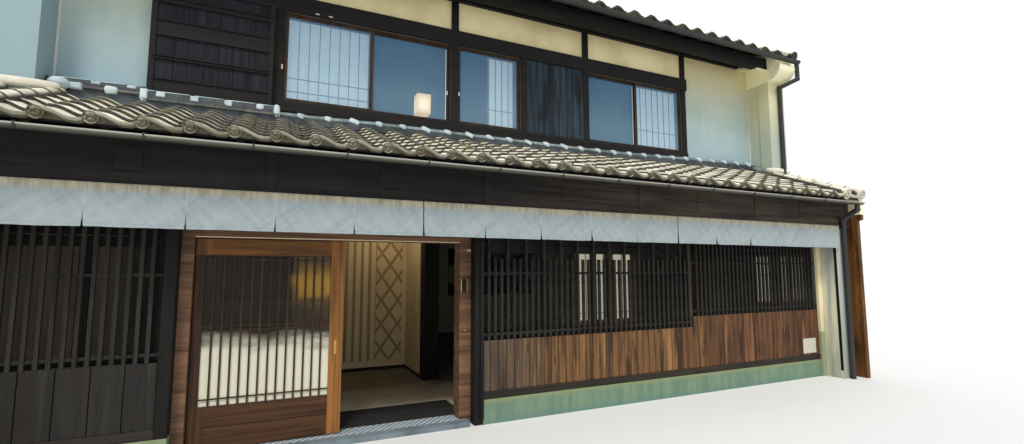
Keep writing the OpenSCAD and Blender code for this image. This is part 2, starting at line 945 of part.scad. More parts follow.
// A deep box for the shutters, with rails and stiles proud of its boards
shutter_panels = [[3630, 3837], [3880, 4090], [4268, 4450], [4520, 4640]];
shutter_y = upper_y - 140;

module shutter_box() {
    color(timber)
        difference() {
            block(shutter_box_x, [shutter_y, upper_y], [flashing_top, upper_head_z]);
            for (z = shutter_panels)
                block(shutter_box_x + [55, -55], [shutter_y - 1, shutter_y + 12], z);
        }
}

// Upright boards with open joints
module board_panel() {
    joints = 6;
    step = (board_panel_x[1] - board_panel_x[0]) / (joints + 1);
    z = [upper_sill_z + seat, upper_head_z];
    color(timber)
        difference() {
            block(board_panel_x, [upper_y - 20, upper_y], z);
            for (i = [1 : joints]) {
                joint = board_panel_x[0] + i * step;
                block([joint - 3, joint + 3], [upper_y - 21, upper_y - 14], z + [-1, 1]);
            }
        }
}

// A square paper lamp on a thin stem from the roof boards
lamp_x = [-1170, -980];
lamp_y = [-2395, -2205];
lamp_z = [3825, 4105];
stem_r = 5;

module room_lamp() {
    mid_x = (lamp_x[0] + lamp_x[1]) / 2;
    mid_y = (lamp_y[0] + lamp_y[1]) / 2;
    roof_z = main_z(mid_y - stem_r) - deck_drop;
    color(lamp_paper) block(lamp_x, lamp_y, lamp_z);
    color(timber)
        translate([mid_x, mid_y, lamp_z[1] - 1])
            cylinder(r = stem_r, h = roof_z - lamp_z[1] + 1, $fn = 24);
}

// Beams under the eaves, the inner on the wall and the outer at the sleeve fronts,
// with the rafters that they carry at the front and at the back
outer_beam_z = 5180;
outer_beam_y = [upper_sleeve_y, upper_sleeve_y + 120];
inner_beam_half = 4650;
function main_rafter_foot(y) = main_z(y) - deck_drop - rafter_h;

module eave_rafter(x, y) {
    run_x([x - rafter_w / 2, x + rafter_w / 2], [
        [y[0], main_z(y[0]) - deck_drop],
        [y[1], main_z(y[1]) - deck_drop],
        [y[1], main_rafter_foot(y[1])],
        [y[0], main_rafter_foot(y[0])]
    ]);
}

module eave_frame() {
    inner_beam_y = [upper_y - 60, upper_y];
    back_beam_y = [back_wall_y, back_wall_y + 60];
    color(timber) {
        block([-inner_beam_half, inner_beam_half], inner_beam_y,
            [eave_beam_z, main_rafter_foot(inner_beam_y[0])]);
        block([-half_in, half_in], outer_beam_y, [outer_beam_z, main_rafter_foot(outer_beam_y[0])]);
        block([-half_in, half_in], back_beam_y, [eave_beam_z, main_rafter_foot(back_beam_y[1])]);
        for (i = [-last_rafter : last_rafter]) {
            eave_rafter(i * rafter_pitch, [main_eave_y + rafter_back, upper_y]);
            eave_rafter(i * rafter_pitch, [back_wall_y, main_back_eave_y - rafter_back]);
        }
    }
}

// White plaster on top of the sleeves: a corbel with a rounded nose, a sloping soffit
// beside the inner beam, and below them the cap of each end cheek
nose_out = 253;
nose_rise = 210;
corbel_top = 5235;
soffit_z = 5285;
// The corbel's back part meets the roof boards just behind the gutter
corbel_back_y = main_eave_y + deck_back + 3;

module sleeve_corbel() {
    run_x([half_in, half_out], concat(
        [[upper_y, corbel_z + seat]],
        [for (a = [0 : 10 : 90]) [
            upper_sleeve_y - nose_out * sin(a),
            corbel_z + seat + nose_rise * (1 - cos(a))]],
        [
            [upper_sleeve_y - nose_out, corbel_top - 25],
            [upper_sleeve_y - nose_out + 40, corbel_top],
            [corbel_back_y, corbel_top],
            [corbel_back_y, main_z(corbel_back_y) - deck_drop],
            [upper_y, main_z(upper_y) - deck_drop]
        ]));
}

module sleeve_soffit() {
    beam_back = outer_beam_y[1] + 1;
    run_x([inner_beam_half + 1, half_in - 1], [
        [outer_beam_y[0], outer_beam_z - 45],
        [beam_back, outer_beam_z - 12],
        [upper_y, soffit_z],
        [upper_y, soffit_z + 45],
        [beam_back, outer_beam_z + 35],
        [beam_back, outer_beam_z - seat],
        [outer_beam_y[0], outer_beam_z - seat]
    ]);
}

module cheek_cap() {
    run_x(cheek_x + [-1, 5], [
        [lattice_y, cheek_top_z + seat],
        [bracket_y, cheek_top_z + seat],
        [bracket_y, pent_z(bracket_y) - deck_drop],
        [lattice_y, pent_z(lattice_y) - deck_drop]
    ]);
}

module sleeve_corbels() {
    color(plaster)
        both_ends() {
            sleeve_corbel();
            sleeve_soffit();
            cheek_cap();
        }
}

module main_boards() {
    y = [main_eave_y + deck_back, main_back_eave_y - deck_back];
    color(timber)
        run_x([-main_half, main_half], [
            [y[0], main_z(y[0]) - tile_bed - seat],
            [ridge_y, main_z(ridge_y) - tile_bed - seat],
            [y[1], main_z(y[1]) - tile_bed - seat],
            [y[1], main_z(y[1]) - deck_drop],
            [ridge_y, main_z(ridge_y) - deck_drop],
            [y[0], main_z(y[0]) - deck_drop]
        ]);
}

// Both slopes of the main roof, the back one a mirror image of the front one
verge_row_x = main_half - end_rim_r;
main_wave_x = [-verge_row_x + end_rim_r + 3, verge_row_x - end_rim_r - 3];

module both_slopes() {
    children();
    translate([0, 2 * ridge_y, 0]) mirror([0, 1, 0]) children();
}

module main_tiles() {
    color(tile_grey)
        both_slopes()
            tile_slope(main_wave_x, main_half, main_slope, main_eave_y, ridge_y - 30, main_eave_z);
}

// Stacked ridge courses under a round cap, and the end rows that run down the verges
ridge_courses = 5;
course_h = 34;
ridge_foot_w = 330;
ridge_cap_r = 80;

module main_ridge() {
    top = main_z(ridge_y);
    foot = top - main_slope * ridge_foot_w / 2 + 1;
    body_top = top + 40 + ridge_courses * course_h;
    color(tile_grey) {
        run_x([-main_half, main_half], [
            [ridge_y - ridge_foot_w / 2, foot], [ridge_y, top + 1], [ridge_y + ridge_foot_w / 2, foot],
            [ridge_y + ridge_foot_w / 2, top + 20], [ridge_y + ridge_foot_w / 2 - 40, top + 40],
            [ridge_y - ridge_foot_w / 2 + 40, top + 40], [ridge_y - ridge_foot_w / 2, top + 20]
        ]);
        for (i = [0 : ridge_courses - 1]) {
            half = ridge_foot_w / 2 - 45 - i * 7;
            z = top + 40 + i * course_h;
            block([-main_half, main_half], [ridge_y - half, ridge_y + half], [z, z + course_h - 8]);
            block(
                [-main_half, main_half],
                [ridge_y - half + 12, ridge_y + half - 12],
                [z + course_h - 8, z + course_h]);
        }
        translate([-main_half, ridge_y, body_top + 20])
            rotate([0, 90, 0])
                cylinder(r = ridge_cap_r, h = 2 * main_half, $fn = 48);
        both_slopes()
            both_ends()
                end_row(verge_row_x, main_slope, main_eave_y, ridge_y - ridge_foot_w / 2 - 45, main_eave_z);
    }
}

// The front gutter drains by a bent pipe on to the pent roof, the back one to the ground
upper_gutter_y = main_eave_y - 10;
back_gutter_y = back_y - gutter_r;
upper_gutter_z = 5310;
upper_gutter_half = half_out + 80;
upper_pipe_x = 5150;
upper_pipe_y = upper_sleeve_y - pipe_r - 8;
back_pipe_x = -5130;

module upper_rainwater() {
    outlet = [upper_gutter_half - 40, upper_gutter_y, upper_gutter_z - gutter_r - seat];
    back_outlet = [back_pipe_x, back_gutter_y, upper_gutter_z - gutter_r - seat];
    back_pipe_y = back_wall_y + pipe_r + 8;
    color(dark_metal) {
        half_round_gutter(upper_gutter_y, upper_gutter_z, upper_gutter_half);
        pipe_run([
            outlet, outlet - [0, 0, 265],
            [upper_pipe_x, upper_pipe_y, 4870],
            [upper_pipe_x, upper_pipe_y, pent_z(upper_pipe_y - pipe_r) + 5]
        ]);
        half_round_gutter(back_gutter_y, upper_gutter_z, upper_gutter_half);
        pipe_run([
            back_outlet, back_outlet - [0, 0, 80],
            [back_pipe_x, back_pipe_y, 4700], [back_pipe_x, back_pipe_y, 0]
        ]);
    }
}

ground_floor();
plinths();
door_sill();
left_party_wall();
right_party_wall();
back_wall_lower();
back_wall_upper();
back_windows();
upper_floor();
front_posts();
front_beam();
lower_sleeves();
upper_sleeves();
end_cheeks();
wainscot();
main_lattice();
right_lattice();
left_lattice();
ground_windows();
window_glass();
paper_screens();
door_frame();
front_leaf();
front_leaf_glass();
front_leaf_pull();
rear_leaf();
rear_leaf_glass();
rear_leaf_pull();
inner_partition();
inner_pillar();
entrance_mat();
fascia_board();
eave_purlin();
cloth_rail();
cloth_left();
cloth_middle();
cloth_right();
pent_boards();
pent_tiles();
pent_end_ridges();
wall_flashing();
lower_rainwater();
upper_wall();
upper_frame();
upper_sashes();
shutter_box();
board_panel();
room_lamp();
eave_frame();
sleeve_corbels();
main_boards();
main_tiles();
main_ridge();
upper_rainwater();
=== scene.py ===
import math
import random
import bmesh
import bpy
from mathutils import Matrix, Vector, noise


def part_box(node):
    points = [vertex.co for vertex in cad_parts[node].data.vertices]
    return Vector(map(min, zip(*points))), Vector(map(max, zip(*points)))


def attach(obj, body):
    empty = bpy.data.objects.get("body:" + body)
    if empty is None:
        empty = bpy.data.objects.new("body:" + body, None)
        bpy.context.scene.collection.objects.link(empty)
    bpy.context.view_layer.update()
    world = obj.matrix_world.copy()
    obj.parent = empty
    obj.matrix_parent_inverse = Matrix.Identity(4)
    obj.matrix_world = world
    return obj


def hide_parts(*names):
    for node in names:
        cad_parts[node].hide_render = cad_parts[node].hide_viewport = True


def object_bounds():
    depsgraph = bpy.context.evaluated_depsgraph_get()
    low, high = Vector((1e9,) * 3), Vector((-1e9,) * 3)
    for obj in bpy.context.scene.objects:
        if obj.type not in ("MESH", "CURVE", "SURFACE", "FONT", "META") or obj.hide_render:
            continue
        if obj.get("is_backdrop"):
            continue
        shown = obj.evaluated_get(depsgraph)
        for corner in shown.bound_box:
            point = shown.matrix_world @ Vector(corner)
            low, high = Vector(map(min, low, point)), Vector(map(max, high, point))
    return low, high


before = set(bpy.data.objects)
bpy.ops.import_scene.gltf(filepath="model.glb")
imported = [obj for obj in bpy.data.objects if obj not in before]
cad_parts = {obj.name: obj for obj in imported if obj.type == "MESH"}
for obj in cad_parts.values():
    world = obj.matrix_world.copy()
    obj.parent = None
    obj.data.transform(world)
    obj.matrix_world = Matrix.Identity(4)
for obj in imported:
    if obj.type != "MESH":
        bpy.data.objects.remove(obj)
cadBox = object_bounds()
collection = bpy.context.scene.collection
bpy.context.scene.view_settings.view_transform = "Standard"


def shade(red, green, blue):
    # A colour as the eye sees it, each part from 0 to 255
    def linear(value):
        value /= 255
        return value / 12.92 if value <= 0.04045 else ((value + 0.055) / 1.055) ** 2.4
    return (linear(red), linear(green), linear(blue), 1.0)


# Camera

camera = {
    "place": (-2.907, -9.067, 1.61),
    "turn": 25.55,  # degrees to the right of the front's normal
    "tilt": 5.72,   # degrees up
    "roll": -0.19,
    "lens": 17.6,
}


def makeCamera():
    data = bpy.data.cameras.new("camera")
    data.lens = camera["lens"]
    data.clip_end = 500
    eye = bpy.data.objects.new("camera", data)
    collection.objects.link(eye)
    turn = Matrix.Rotation(math.radians(-camera["turn"]), 4, "Z")
    tilt = Matrix.Rotation(math.radians(90 + camera["tilt"]), 4, "X")
    roll = Matrix.Rotation(math.radians(camera["roll"]), 4, "Z")
    eye.matrix_world = Matrix.Translation(camera["place"]) @ turn @ tilt @ roll
    bpy.context.scene.camera = eye


# Shader tools

class Signal:
    # A socket that takes part in sums
    def __init__(self, tree, socket):
        self.tree = tree
        self.socket = socket

    def maths(self, operation, first, second=0.0):
        return self.tree.node("ShaderNodeMath", {"operation": operation}, {0: first, 1: second})

    def __add__(self, other):
        return self.maths("ADD", self, other)

    def __radd__(self, other):
        return self.maths("ADD", other, self)

    def __sub__(self, other):
        return self.maths("SUBTRACT", self, other)

    def __rsub__(self, other):
        return self.maths("SUBTRACT", other, self)

    def __mul__(self, other):
        return self.maths("MULTIPLY", self, other)

    def __rmul__(self, other):
        return self.maths("MULTIPLY", other, self)

    def __mod__(self, other):
        return self.maths("MODULO", self, other)

    def unsigned(self):
        return self.maths("ABSOLUTE", self)

    def highest(self, other):
        return self.maths("MAXIMUM", self, other)

    def lowest(self, other):
        return self.maths("MINIMUM", self, other)

    def band(self, low, high, first=0.0, last=1.0):
        # A soft step from first to last, as the value goes from low to high
        return self.tree.node(
            "ShaderNodeMapRange", {"interpolation_type": "SMOOTHSTEP"},
            {"Value": self, "From Min": low, "From Max": high, "To Min": first, "To Max": last})

    def fall(self, low, high):
        return self.band(low, high, 1.0, 0.0)

    def within(self, low, high, soft=0.001):
        # One between two values, with soft edges
        return self.band(low, low + soft) * self.fall(high - soft, high)


class Tree:
    def __init__(self, tree):
        self.tree = tree
        tree.nodes.clear()

    def node(self, kind, settings=None, inputs=None, output=0):
        made = self.tree.nodes.new(kind)
        for name, value in (settings or {}).items():
            if name == "stops":
                self.setStops(made.color_ramp.elements, value)
            else:
                setattr(made, name, value)
        for name, value in (inputs or {}).items():
            if isinstance(value, Signal):
                self.tree.links.new(value.socket, made.inputs[name])
            else:
                made.inputs[name].default_value = value
        return Signal(self, made.outputs[output]) if len(made.outputs) else None

    def setStops(self, elements, stops):
        while len(elements) < len(stops):
            elements.new(0.5)
        for element, (position, colour) in zip(elements, stops):
            element.position = position
            element.color = colour

    def mix(self, mask, first, second, blend="MIX"):
        settings = {"data_type": "RGBA", "blend_type": blend}
        return self.node("ShaderNodeMix", settings, {0: mask, 6: first, 7: second}, output=2)

    def stretch(self, place, amounts):
        return self.node("ShaderNodeVectorMath", {"operation": "MULTIPLY"}, {0: place, 1: amounts})

    def noise(self, place, scale, detail=4.0, rough=0.55, distort=0.0):
        if isinstance(scale, tuple):
            place = self.stretch(place, scale)
            scale = 1.0
        inputs = {"Vector": place, "Scale": scale, "Detail": detail, "Roughness": rough, "Distortion": distort}
        return self.node("ShaderNodeTexNoise", inputs=inputs)

    def cells(self, place, scale):
        return self.node("ShaderNodeTexVoronoi", inputs={"Vector": self.stretch(place, scale), "Scale": 1.0})

    def axis(self, place, letter):
        return self.node("ShaderNodeSeparateXYZ", inputs={"Vector": place}, output=letter)

    def attribute(self, name, output="Fac"):
        return self.node("ShaderNodeAttribute", {"attribute_name": name}, output=output)


class Finish(Tree):
    def __init__(self, name):
        self.material = bpy.data.materials.new(name)
        self.material.use_nodes = True
        super().__init__(self.material.node_tree)
        self.place = self.node("ShaderNodeTexCoord", output="Object")

    def on(self, letter):
        return self.axis(self.place, letter)

    def bump(self, height, distance, under=None):
        inputs = {"Height": height, "Distance": distance}
        if under:
            inputs["Normal"] = under
        return self.node("ShaderNodeBump", inputs=inputs, output="Normal")

    def surface(self, colour, rough, normal=None, more=None):
        inputs = {"Base Color": colour, "Roughness": rough, **(more or {})}
        if normal:
            inputs["Normal"] = normal
        body = self.node("ShaderNodeBsdfPrincipled", inputs=inputs)
        self.node("ShaderNodeOutputMaterial", inputs={"Surface": body})
        return self.material


# Light

studio = {
    "sunStrength": 2.1,
    "sunAngle": 14,        # degrees, soft
    "sunFrom": (-0.30, -0.62, 1.0),
    "sunColour": (1.0, 0.96, 0.89),
    "skyColour": (0.86, 0.93, 1.0, 1.0),
    "skyStrength": 0.85,
    "floorColour": (0.80, 0.79, 0.77, 1.0),
    "floorSize": 240,
    "lampPower": 7,
    "lampRadius": 0.15,
    "lampColour": (1.0, 0.80, 0.55),
    "lampPlace": (-1.45, -1.35, 2.35),
}


def makeLight():
    world = bpy.data.worlds.new("studio")
    world.use_nodes = True
    bpy.context.scene.world = world
    tree = Tree(world.node_tree)
    seen = tree.node("ShaderNodeLightPath", output="Is Camera Ray")
    for ray in ("Is Glossy Ray", "Is Transmission Ray"):
        seen = seen.highest(tree.node("ShaderNodeLightPath", output=ray))
    sky, white = (
        tree.node("ShaderNodeBackground", inputs={"Color": colour, "Strength": strength})
        for colour, strength in ((studio["skyColour"], studio["skyStrength"]), ((1, 1, 1, 1), 1.0)))
    both = tree.node("ShaderNodeMixShader", inputs={0: seen, 1: sky, 2: white})
    tree.node("ShaderNodeOutputWorld", inputs={"Surface": both})

    data = bpy.data.lights.new("sun", "SUN")
    data.energy = studio["sunStrength"]
    data.angle = math.radians(studio["sunAngle"])
    data.color = studio["sunColour"]
    sun = bpy.data.objects.new("sun", data)
    collection.objects.link(sun)
    sun.rotation_mode = "QUATERNION"
    sun.rotation_quaternion = Vector(studio["sunFrom"]).to_track_quat("Z", "Y")

    data = bpy.data.lights.new("entrance_lamp", "POINT")
    data.energy = studio["lampPower"]
    data.shadow_soft_size = studio["lampRadius"]
    data.color = studio["lampColour"]
    lamp = bpy.data.objects.new("entrance_lamp", data)
    lamp.location = studio["lampPlace"]
    collection.objects.link(lamp)


def makeFloor():
    bm = bmesh.new()
    bmesh.ops.create_grid(bm, x_segments=1, y_segments=1, size=studio["floorSize"] / 2)
    mesh = bpy.data.meshes.new("studio_floor")
    bm.to_mesh(mesh)
    bm.free()
    finish = Finish("pale floor")
    mesh.materials.append(finish.surface(studio["floorColour"], 0.9))
    floor = bpy.data.objects.new("studio_floor", mesh)
    collection.objects.link(floor)
    floor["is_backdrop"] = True


makeCamera()
makeLight()
makeFloor()
print("stage: camera, light and floor")


# Mesh tools

quarter = {axis: Matrix.Rotation(math.radians(90), 4, axis) for axis in "XZ"}


def addBox(bm, low, high):
    made = bmesh.ops.create_cube(bm, size=1.0)["verts"]
    low = Vector(low)
    high = Vector(high)
    bmesh.ops.scale(bm, vec=high - low, verts=made)
    bmesh.ops.translate(bm, vec=(low + high) / 2, verts=made)


def copyNode(name):
    # The CAD mesh, merged, with its flat faces whole again
    bm = bmesh.new()
    bm.from_mesh(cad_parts[name].data)
    bmesh.ops.remove_doubles(bm, verts=bm.verts, dist=1e-5)
    bmesh.ops.dissolve_limit(bm, angle_limit=math.radians(1), verts=bm.verts, edges=bm.edges)
    return bm


def islands(bm):
    seen = set()
    for start in bm.verts:
        if start in seen:
            continue
        seen.add(start)
        island = [start]
        for vert in island:
            for edge in vert.link_edges:
                other = edge.other_vert(vert)
                if other not in seen:
                    seen.add(other)
                    island.append(other)
        yield island


def bevel(bm, edges, width, segments=1):
    bmesh.ops.bevel(
        bm, geom=edges, offset=width, offset_type="OFFSET", segments=segments, profile=0.5,
        affect="EDGES", clamp_overlap=True, material=-1)


def easeEdges(bm, width):
    sharp = [e for e in bm.edges if len(e.link_faces) == 2 and e.calc_face_angle(0) > math.radians(30)]
    bevel(bm, sharp, width)


def grainAlong(bm, seed, along=None):
    # Each separate piece of wood, tile or stone gets its own pattern, that runs along its longest side
    chance = random.Random(seed)
    fibre = bm.verts.layers.float_vector.new("fibre")
    tint = bm.verts.layers.float.new("tint")
    for island in islands(bm):
        size = [max(v.co[i] for v in island) - min(v.co[i] for v in island) for i in range(3)]
        longest = size.index(max(size)) if along is None else along
        shift = Vector([chance.uniform(0, 20) for _ in range(3)])
        share = chance.random()
        for vert in island:
            turned = Vector((vert.co[longest], vert.co[longest - 2], vert.co[longest - 1]))
            vert[fibre] = turned + shift
            vert[tint] = share


def smoothFaces(bm, angle):
    for face in bm.faces:
        face.smooth = True
    for edge in bm.edges:
        edge.smooth = edge.calc_face_angle(4) < math.radians(angle)


def asMesh(bm, name, angle=None):
    # With an angle: faces turned outward, and edges below it smooth
    if angle:
        bmesh.ops.recalc_face_normals(bm, faces=bm.faces)
        smoothFaces(bm, angle)
    mesh = bpy.data.meshes.new(name)
    bm.to_mesh(mesh)
    bm.free()
    return mesh


def addMesh(bm, mesh, matrix):
    # A copy of a mesh, placed in a larger piece
    first = len(bm.verts)
    bm.from_mesh(mesh)
    bm.verts.ensure_lookup_table()
    bmesh.ops.transform(bm, matrix=matrix, verts=bm.verts[first:])


def addPiece(name, bm, material, slotName, stands=(), body="house"):
    mesh = asMesh(bm, name)
    mesh.materials.append(material)
    piece = bpy.data.objects.new(name, mesh)
    collection.objects.link(piece)
    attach(piece, body)
    if stands:
        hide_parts(*stands)
    return piece


def addWood(name, bm, material, slotName, stands=(), body="house", edge=0.003, seed=1, along=None):
    easeEdges(bm, edge)
    grainAlong(bm, seed, along)
    addPiece(name, bm, material, slotName, stands, body)


def addTiles(name, bm, material, seed, stands=()):
    grainAlong(bm, seed)
    addPiece(name, bm, material, "roof_tile", stands)


def dress(material, *names):
    for name in names:
        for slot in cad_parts[name].material_slots:
            slot.link = "OBJECT"
            slot.material = material


# Plaster

plasterLook = {
    # The front's white is tinted blue-grey as painted shade; party is the same plaster's neutral white
    "white": (shade(178, 193, 187), shade(160, 178, 174)),
    "party": (shade(214, 213, 202), shade(194, 195, 186)),
    "cream": (shade(246, 230, 180), shade(224, 206, 156)),
    # Painted warm bounce light under the eaves, and painted cool shade low on the wall
    "eaves": shade(214, 196, 138),
    "low": shade(140, 167, 182),
    # Painted shade makes the left sleeve bluer, painted warm light the right one creamier high up
    "leftSleeve": shade(134, 160, 167),
    "rightSleeve": shade(172, 179, 160),
    "rightSleeveTop": shade(212, 203, 154),
    "corbel": (shade(249, 244, 206), shade(228, 220, 180)),
    # The lower sleeves' front and side colours are painted light and shade on the one white plaster
    "sleeveFront": shade(174, 179, 170),
    "sleeveSide": shade(236, 232, 200),
    "pilaster": (shade(242, 225, 184), shade(164, 166, 124)),
    "inner": (shade(226, 208, 164), shade(204, 186, 142)),
    "lines": shade(150, 122, 76),
    "skirting": shade(34, 28, 24),
    "reveal": shade(60, 46, 36),
    "stain": shade(128, 140, 118),
    # Painted shade inside the slot
    "slot": shade(46, 40, 34),
    # Heights and places where one tone turns into another
    "lowFrom": (3.6, 4.6), "eavesFrom": (4.3, 5.5), "sleeveCream": (3.9, 4.8), "skirtingTop": (0.098, 0.102),
    "friezeLeft": (-4.1, -3.0), "friezeRight": (3.33, 3.35), "friezeFoot": (4.70, 4.72),
    "revealDepth": (-2.8266, -2.7085), "revealTop": (4.69, 4.70),
    "pilasterFrom": (-4.01, -4.0), "pilasterGreen": (0.68, 0.70), "frontEdge": (-4.262, -4.258),
    "slotDepth": (-4.2612, -4.2162), "slotAcross": (4.911, 4.975), "slotTop": (2.18, 2.181),
}


def plasterFinish(name, colours, patch=1.4, tone=None, relief=None):
    wall = Finish(name)
    patches = wall.noise(wall.place, patch, detail=3)
    streaks = wall.noise(wall.place, (3.2, 3.2, 0.35), detail=3)
    trowel = wall.noise(wall.place, (9, 9, 14), detail=5, rough=0.6, distort=0.6)
    sand = wall.noise(wall.place, 240, detail=2)
    worn = (patches * 0.6 + streaks * 0.4).band(0.40, 0.66)
    colour = wall.mix(worn, *colours)
    colour = wall.mix(trowel.band(0.3, 0.75, 0.0, 0.12), colour, (1, 1, 1, 1), "SOFT_LIGHT")
    normal = wall.bump(trowel, 0.0025)
    normal = wall.bump(sand, 0.0006, normal)
    if relief:
        lines = relief(wall)
        colour = wall.mix(lines, colour, plasterLook["lines"])
        normal = wall.bump(lines, 0.012, normal)
    if tone:
        colour = tone(wall, colour, patches)
    return wall.surface(colour, 0.88, normal)


def frontTone(wall, colour, patches):
    # Creamier towards the eaves with painted warm bounce light and bluer low down with painted cool shade; the
    # frieze is cream, the window reveals are dark brown
    look = plasterLook
    x, y, z = (wall.on(letter) for letter in "XYZ")
    # Painted cool shade low down, then painted warm bounce light towards the eaves
    colour = wall.mix((z + patches * 0.5).band(*look["lowFrom"], 0.75, 0.0), colour, look["low"])
    colour = wall.mix((z + patches * 0.4).band(*look["eavesFrom"], 0.0, 0.85), colour, look["eaves"])
    frieze = x.band(*look["friezeLeft"]) * x.fall(*look["friezeRight"]) * z.band(*look["friezeFoot"])
    colour = wall.mix(frieze, colour, wall.mix(patches.band(0.35, 0.65), *look["cream"]))
    reveal = y.within(*look["revealDepth"], 0.0005) * z.fall(*look["revealTop"])
    return wall.mix(reveal, colour, look["reveal"])


def upperSleeveTone(wall, colour, patches):
    # Bluer with painted shade at the left end, creamier high up at the right with painted warm light under the
    # eaves
    look = plasterLook
    x = wall.on("X")
    height = wall.on("Z") + patches * 0.3
    right = wall.mix(height.band(*look["sleeveCream"]), look["rightSleeve"], look["rightSleeveTop"])
    colour = wall.mix(0.8, colour, wall.mix(x.band(-1.0, 1.0), look["leftSleeve"], right))
    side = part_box("upper_sleeves")[1][0] - 0.003   # white towards the neighbours
    outside = x.unsigned().band(side, side + 0.002)
    return wall.mix(outside, colour, wall.mix(patches.band(0.35, 0.65), *look["party"]))


def lowerSleeveTone(wall, colour, patches):
    # Creamy sides and a cooler front, coloured apart per face as painted light and shade; brown and green stains
    # low down; and a slot darkened with painted shade
    look = plasterLook
    x = wall.on("X").unsigned()
    y = wall.on("Y")
    z = wall.on("Z")
    run = wall.noise(wall.place, (14, 14, 0.9), detail=4)
    side = wall.mix(run.band(0.35, 0.7), look["sleeveSide"], look["sleeveFront"])
    side = wall.mix((z + run * 0.5).band(1.1, 2.6), side, look["sleeveFront"])
    cream, green = look["pilaster"]
    pilaster = wall.mix((z + run * 0.03).band(*look["pilasterGreen"]), green, cream)
    # Front and side faces coloured apart: painted light and shade
    colour = wall.mix(y.band(*look["frontEdge"]), look["sleeveFront"], side)
    colour = wall.mix(y.band(*look["pilasterFrom"]), colour, pilaster)
    stain = (z - run * 1.5 - patches * 0.4).fall(-0.75, 0.35)
    colour = wall.mix(stain * 0.45, colour, look["stain"])
    # Painted shade darkens the slot
    slot = y.within(*look["slotDepth"], 0.0005) * x.within(*look["slotAcross"], 0.002) * z.fall(*look["slotTop"])
    return wall.mix(slot, colour, look["slot"])


reliefLook = {
    "diamonds": (0.27, 0.048), "steepness": 0.7,   # pitch and width of the lines
    "upright": (0.12, 0.044),
    "split": (-1.352, -1.348), "right": (-0.93, -0.925), "foot": (0.20, 0.205), "face": (-0.652, -0.651),
}


def wallRelief(wall):
    # Raised lines on the wall inside: upright ones at the left, diamonds at the right
    look = reliefLook
    x, y, z = (wall.on(letter) for letter in "XYZ")

    def lines(value, pitch, width):
        off = ((value + 50) % pitch - pitch / 2).unsigned()
        return off.fall(width / 2 - 0.003, width / 2 + 0.003)

    rising = z * look["steepness"]
    diamonds = lines(x + rising, *look["diamonds"]).highest(lines(x - rising, *look["diamonds"]))
    right = x.band(*look["split"])
    both = diamonds * right + lines(x, *look["upright"]) * (1 - right)
    return both * z.band(*look["foot"]) * x.fall(*look["right"]) * y.band(*look["face"]) * 0.8


def innerTone(wall, colour, patches):
    return wall.mix(wall.on("Z").fall(*plasterLook["skirtingTop"]), colour, plasterLook["skirting"])


whitePlaster = plasterFinish("white plaster", plasterLook["party"])
frontPlaster = plasterFinish("front plaster", plasterLook["white"], tone=frontTone)
upperSleevePlaster = plasterFinish("upper sleeve plaster", plasterLook["white"], tone=upperSleeveTone)
lowerSleevePlaster = plasterFinish("lower sleeve plaster", plasterLook["white"], tone=lowerSleeveTone)
creamPlaster = plasterFinish("cream plaster", plasterLook["corbel"])
innerPlaster = plasterFinish("inner plaster", plasterLook["inner"], 0.8, tone=innerTone, relief=wallRelief)
dress(whitePlaster, "left_party_wall", "right_party_wall", "back_wall_lower", "back_wall_upper")
dress(upperSleevePlaster, "upper_sleeves")
dress(lowerSleevePlaster, "lower_sleeves")
dress(frontPlaster, "upper_wall")
dress(creamPlaster, "sleeve_corbels")
dress(innerPlaster, "inner_partition")


# Timber

timberLook = {
    "dark": (shade(31, 29, 28), shade(14, 14, 14)),
    "beam": (shade(58, 50, 43), shade(28, 25, 22)),
    "weathered": (shade(72, 62, 50), shade(26, 23, 20)),
    "lattice": (shade(52, 49, 44), shade(24, 23, 21)),
    "sash": (shade(74, 56, 44), shade(30, 24, 20)),
    "door": (shade(78, 54, 37), shade(42, 29, 20)),
    "stile": (shade(166, 111, 55), shade(100, 67, 34)),
    "bottom": (shade(90, 60, 36), shade(48, 32, 20)),
    "joint": shade(16, 10, 8),
    "stain": shade(22, 18, 16),
    # On a leaf: where its pull stile starts, where its foot ends, where its head starts, and the foot's joints
    "pullStile": -2.373, "footTop": (0.417, 0.419), "headFrom": (1.773, 1.775),
    "seams": ((0.330, 0.338), (0.245, 0.255)),
    "frame": (shade(138, 102, 76), shade(76, 56, 42)),
    "boards": (shade(150, 94, 56), shade(92, 54, 32)),
    "cheek": (shade(136, 90, 40), shade(78, 52, 24)),
}


def timberFinish(name, colours, rough=0.62, knots=0.0, streaks=0.35, spread=0.35, tone=None, across=None):
    wood = Finish(name)
    colours = tone(wood) if tone else colours
    fibre = wood.attribute("fibre", "Vector")
    if across:
        fibre = wood.mix(across(wood), fibre, wood.place)
    tint = wood.attribute("tint")
    broad = wood.noise(fibre, (0.7, 16, 16), detail=4, distort=0.4)
    fine = wood.noise(fibre, (2.2, 150, 150), detail=3, rough=0.6)
    stain = wood.noise(fibre, (1.3, 5, 5), detail=3)
    figure = broad * 0.55 + fine * 0.45
    if knots:
        knot = wood.cells(fibre, (3.1, 12, 12)).band(0.05, 0.19, knots, 0.0)
        figure = figure - knot * 0.5
    colour = wood.mix(figure.band(0.36, 0.62), colours[1], colours[0])
    colour = wood.mix(tint * spread, colour, colours[1])
    colour = wood.mix(stain.band(0.50, 0.72, 0.0, streaks), colour, timberLook["stain"])
    gloss = fine.band(0.3, 0.7, rough - 0.08, rough + 0.12)
    return wood.surface(colour, gloss, wood.bump(figure, 0.0022), {"Specular IOR Level": 0.2})


def weatheredTone(wood):
    # Nearly black at the left, browner towards the right
    right = wood.on("X").band(-1.5, 2.0)
    return [wood.mix(right, dim, full) for dim, full in zip(timberLook["dark"], timberLook["weathered"])]


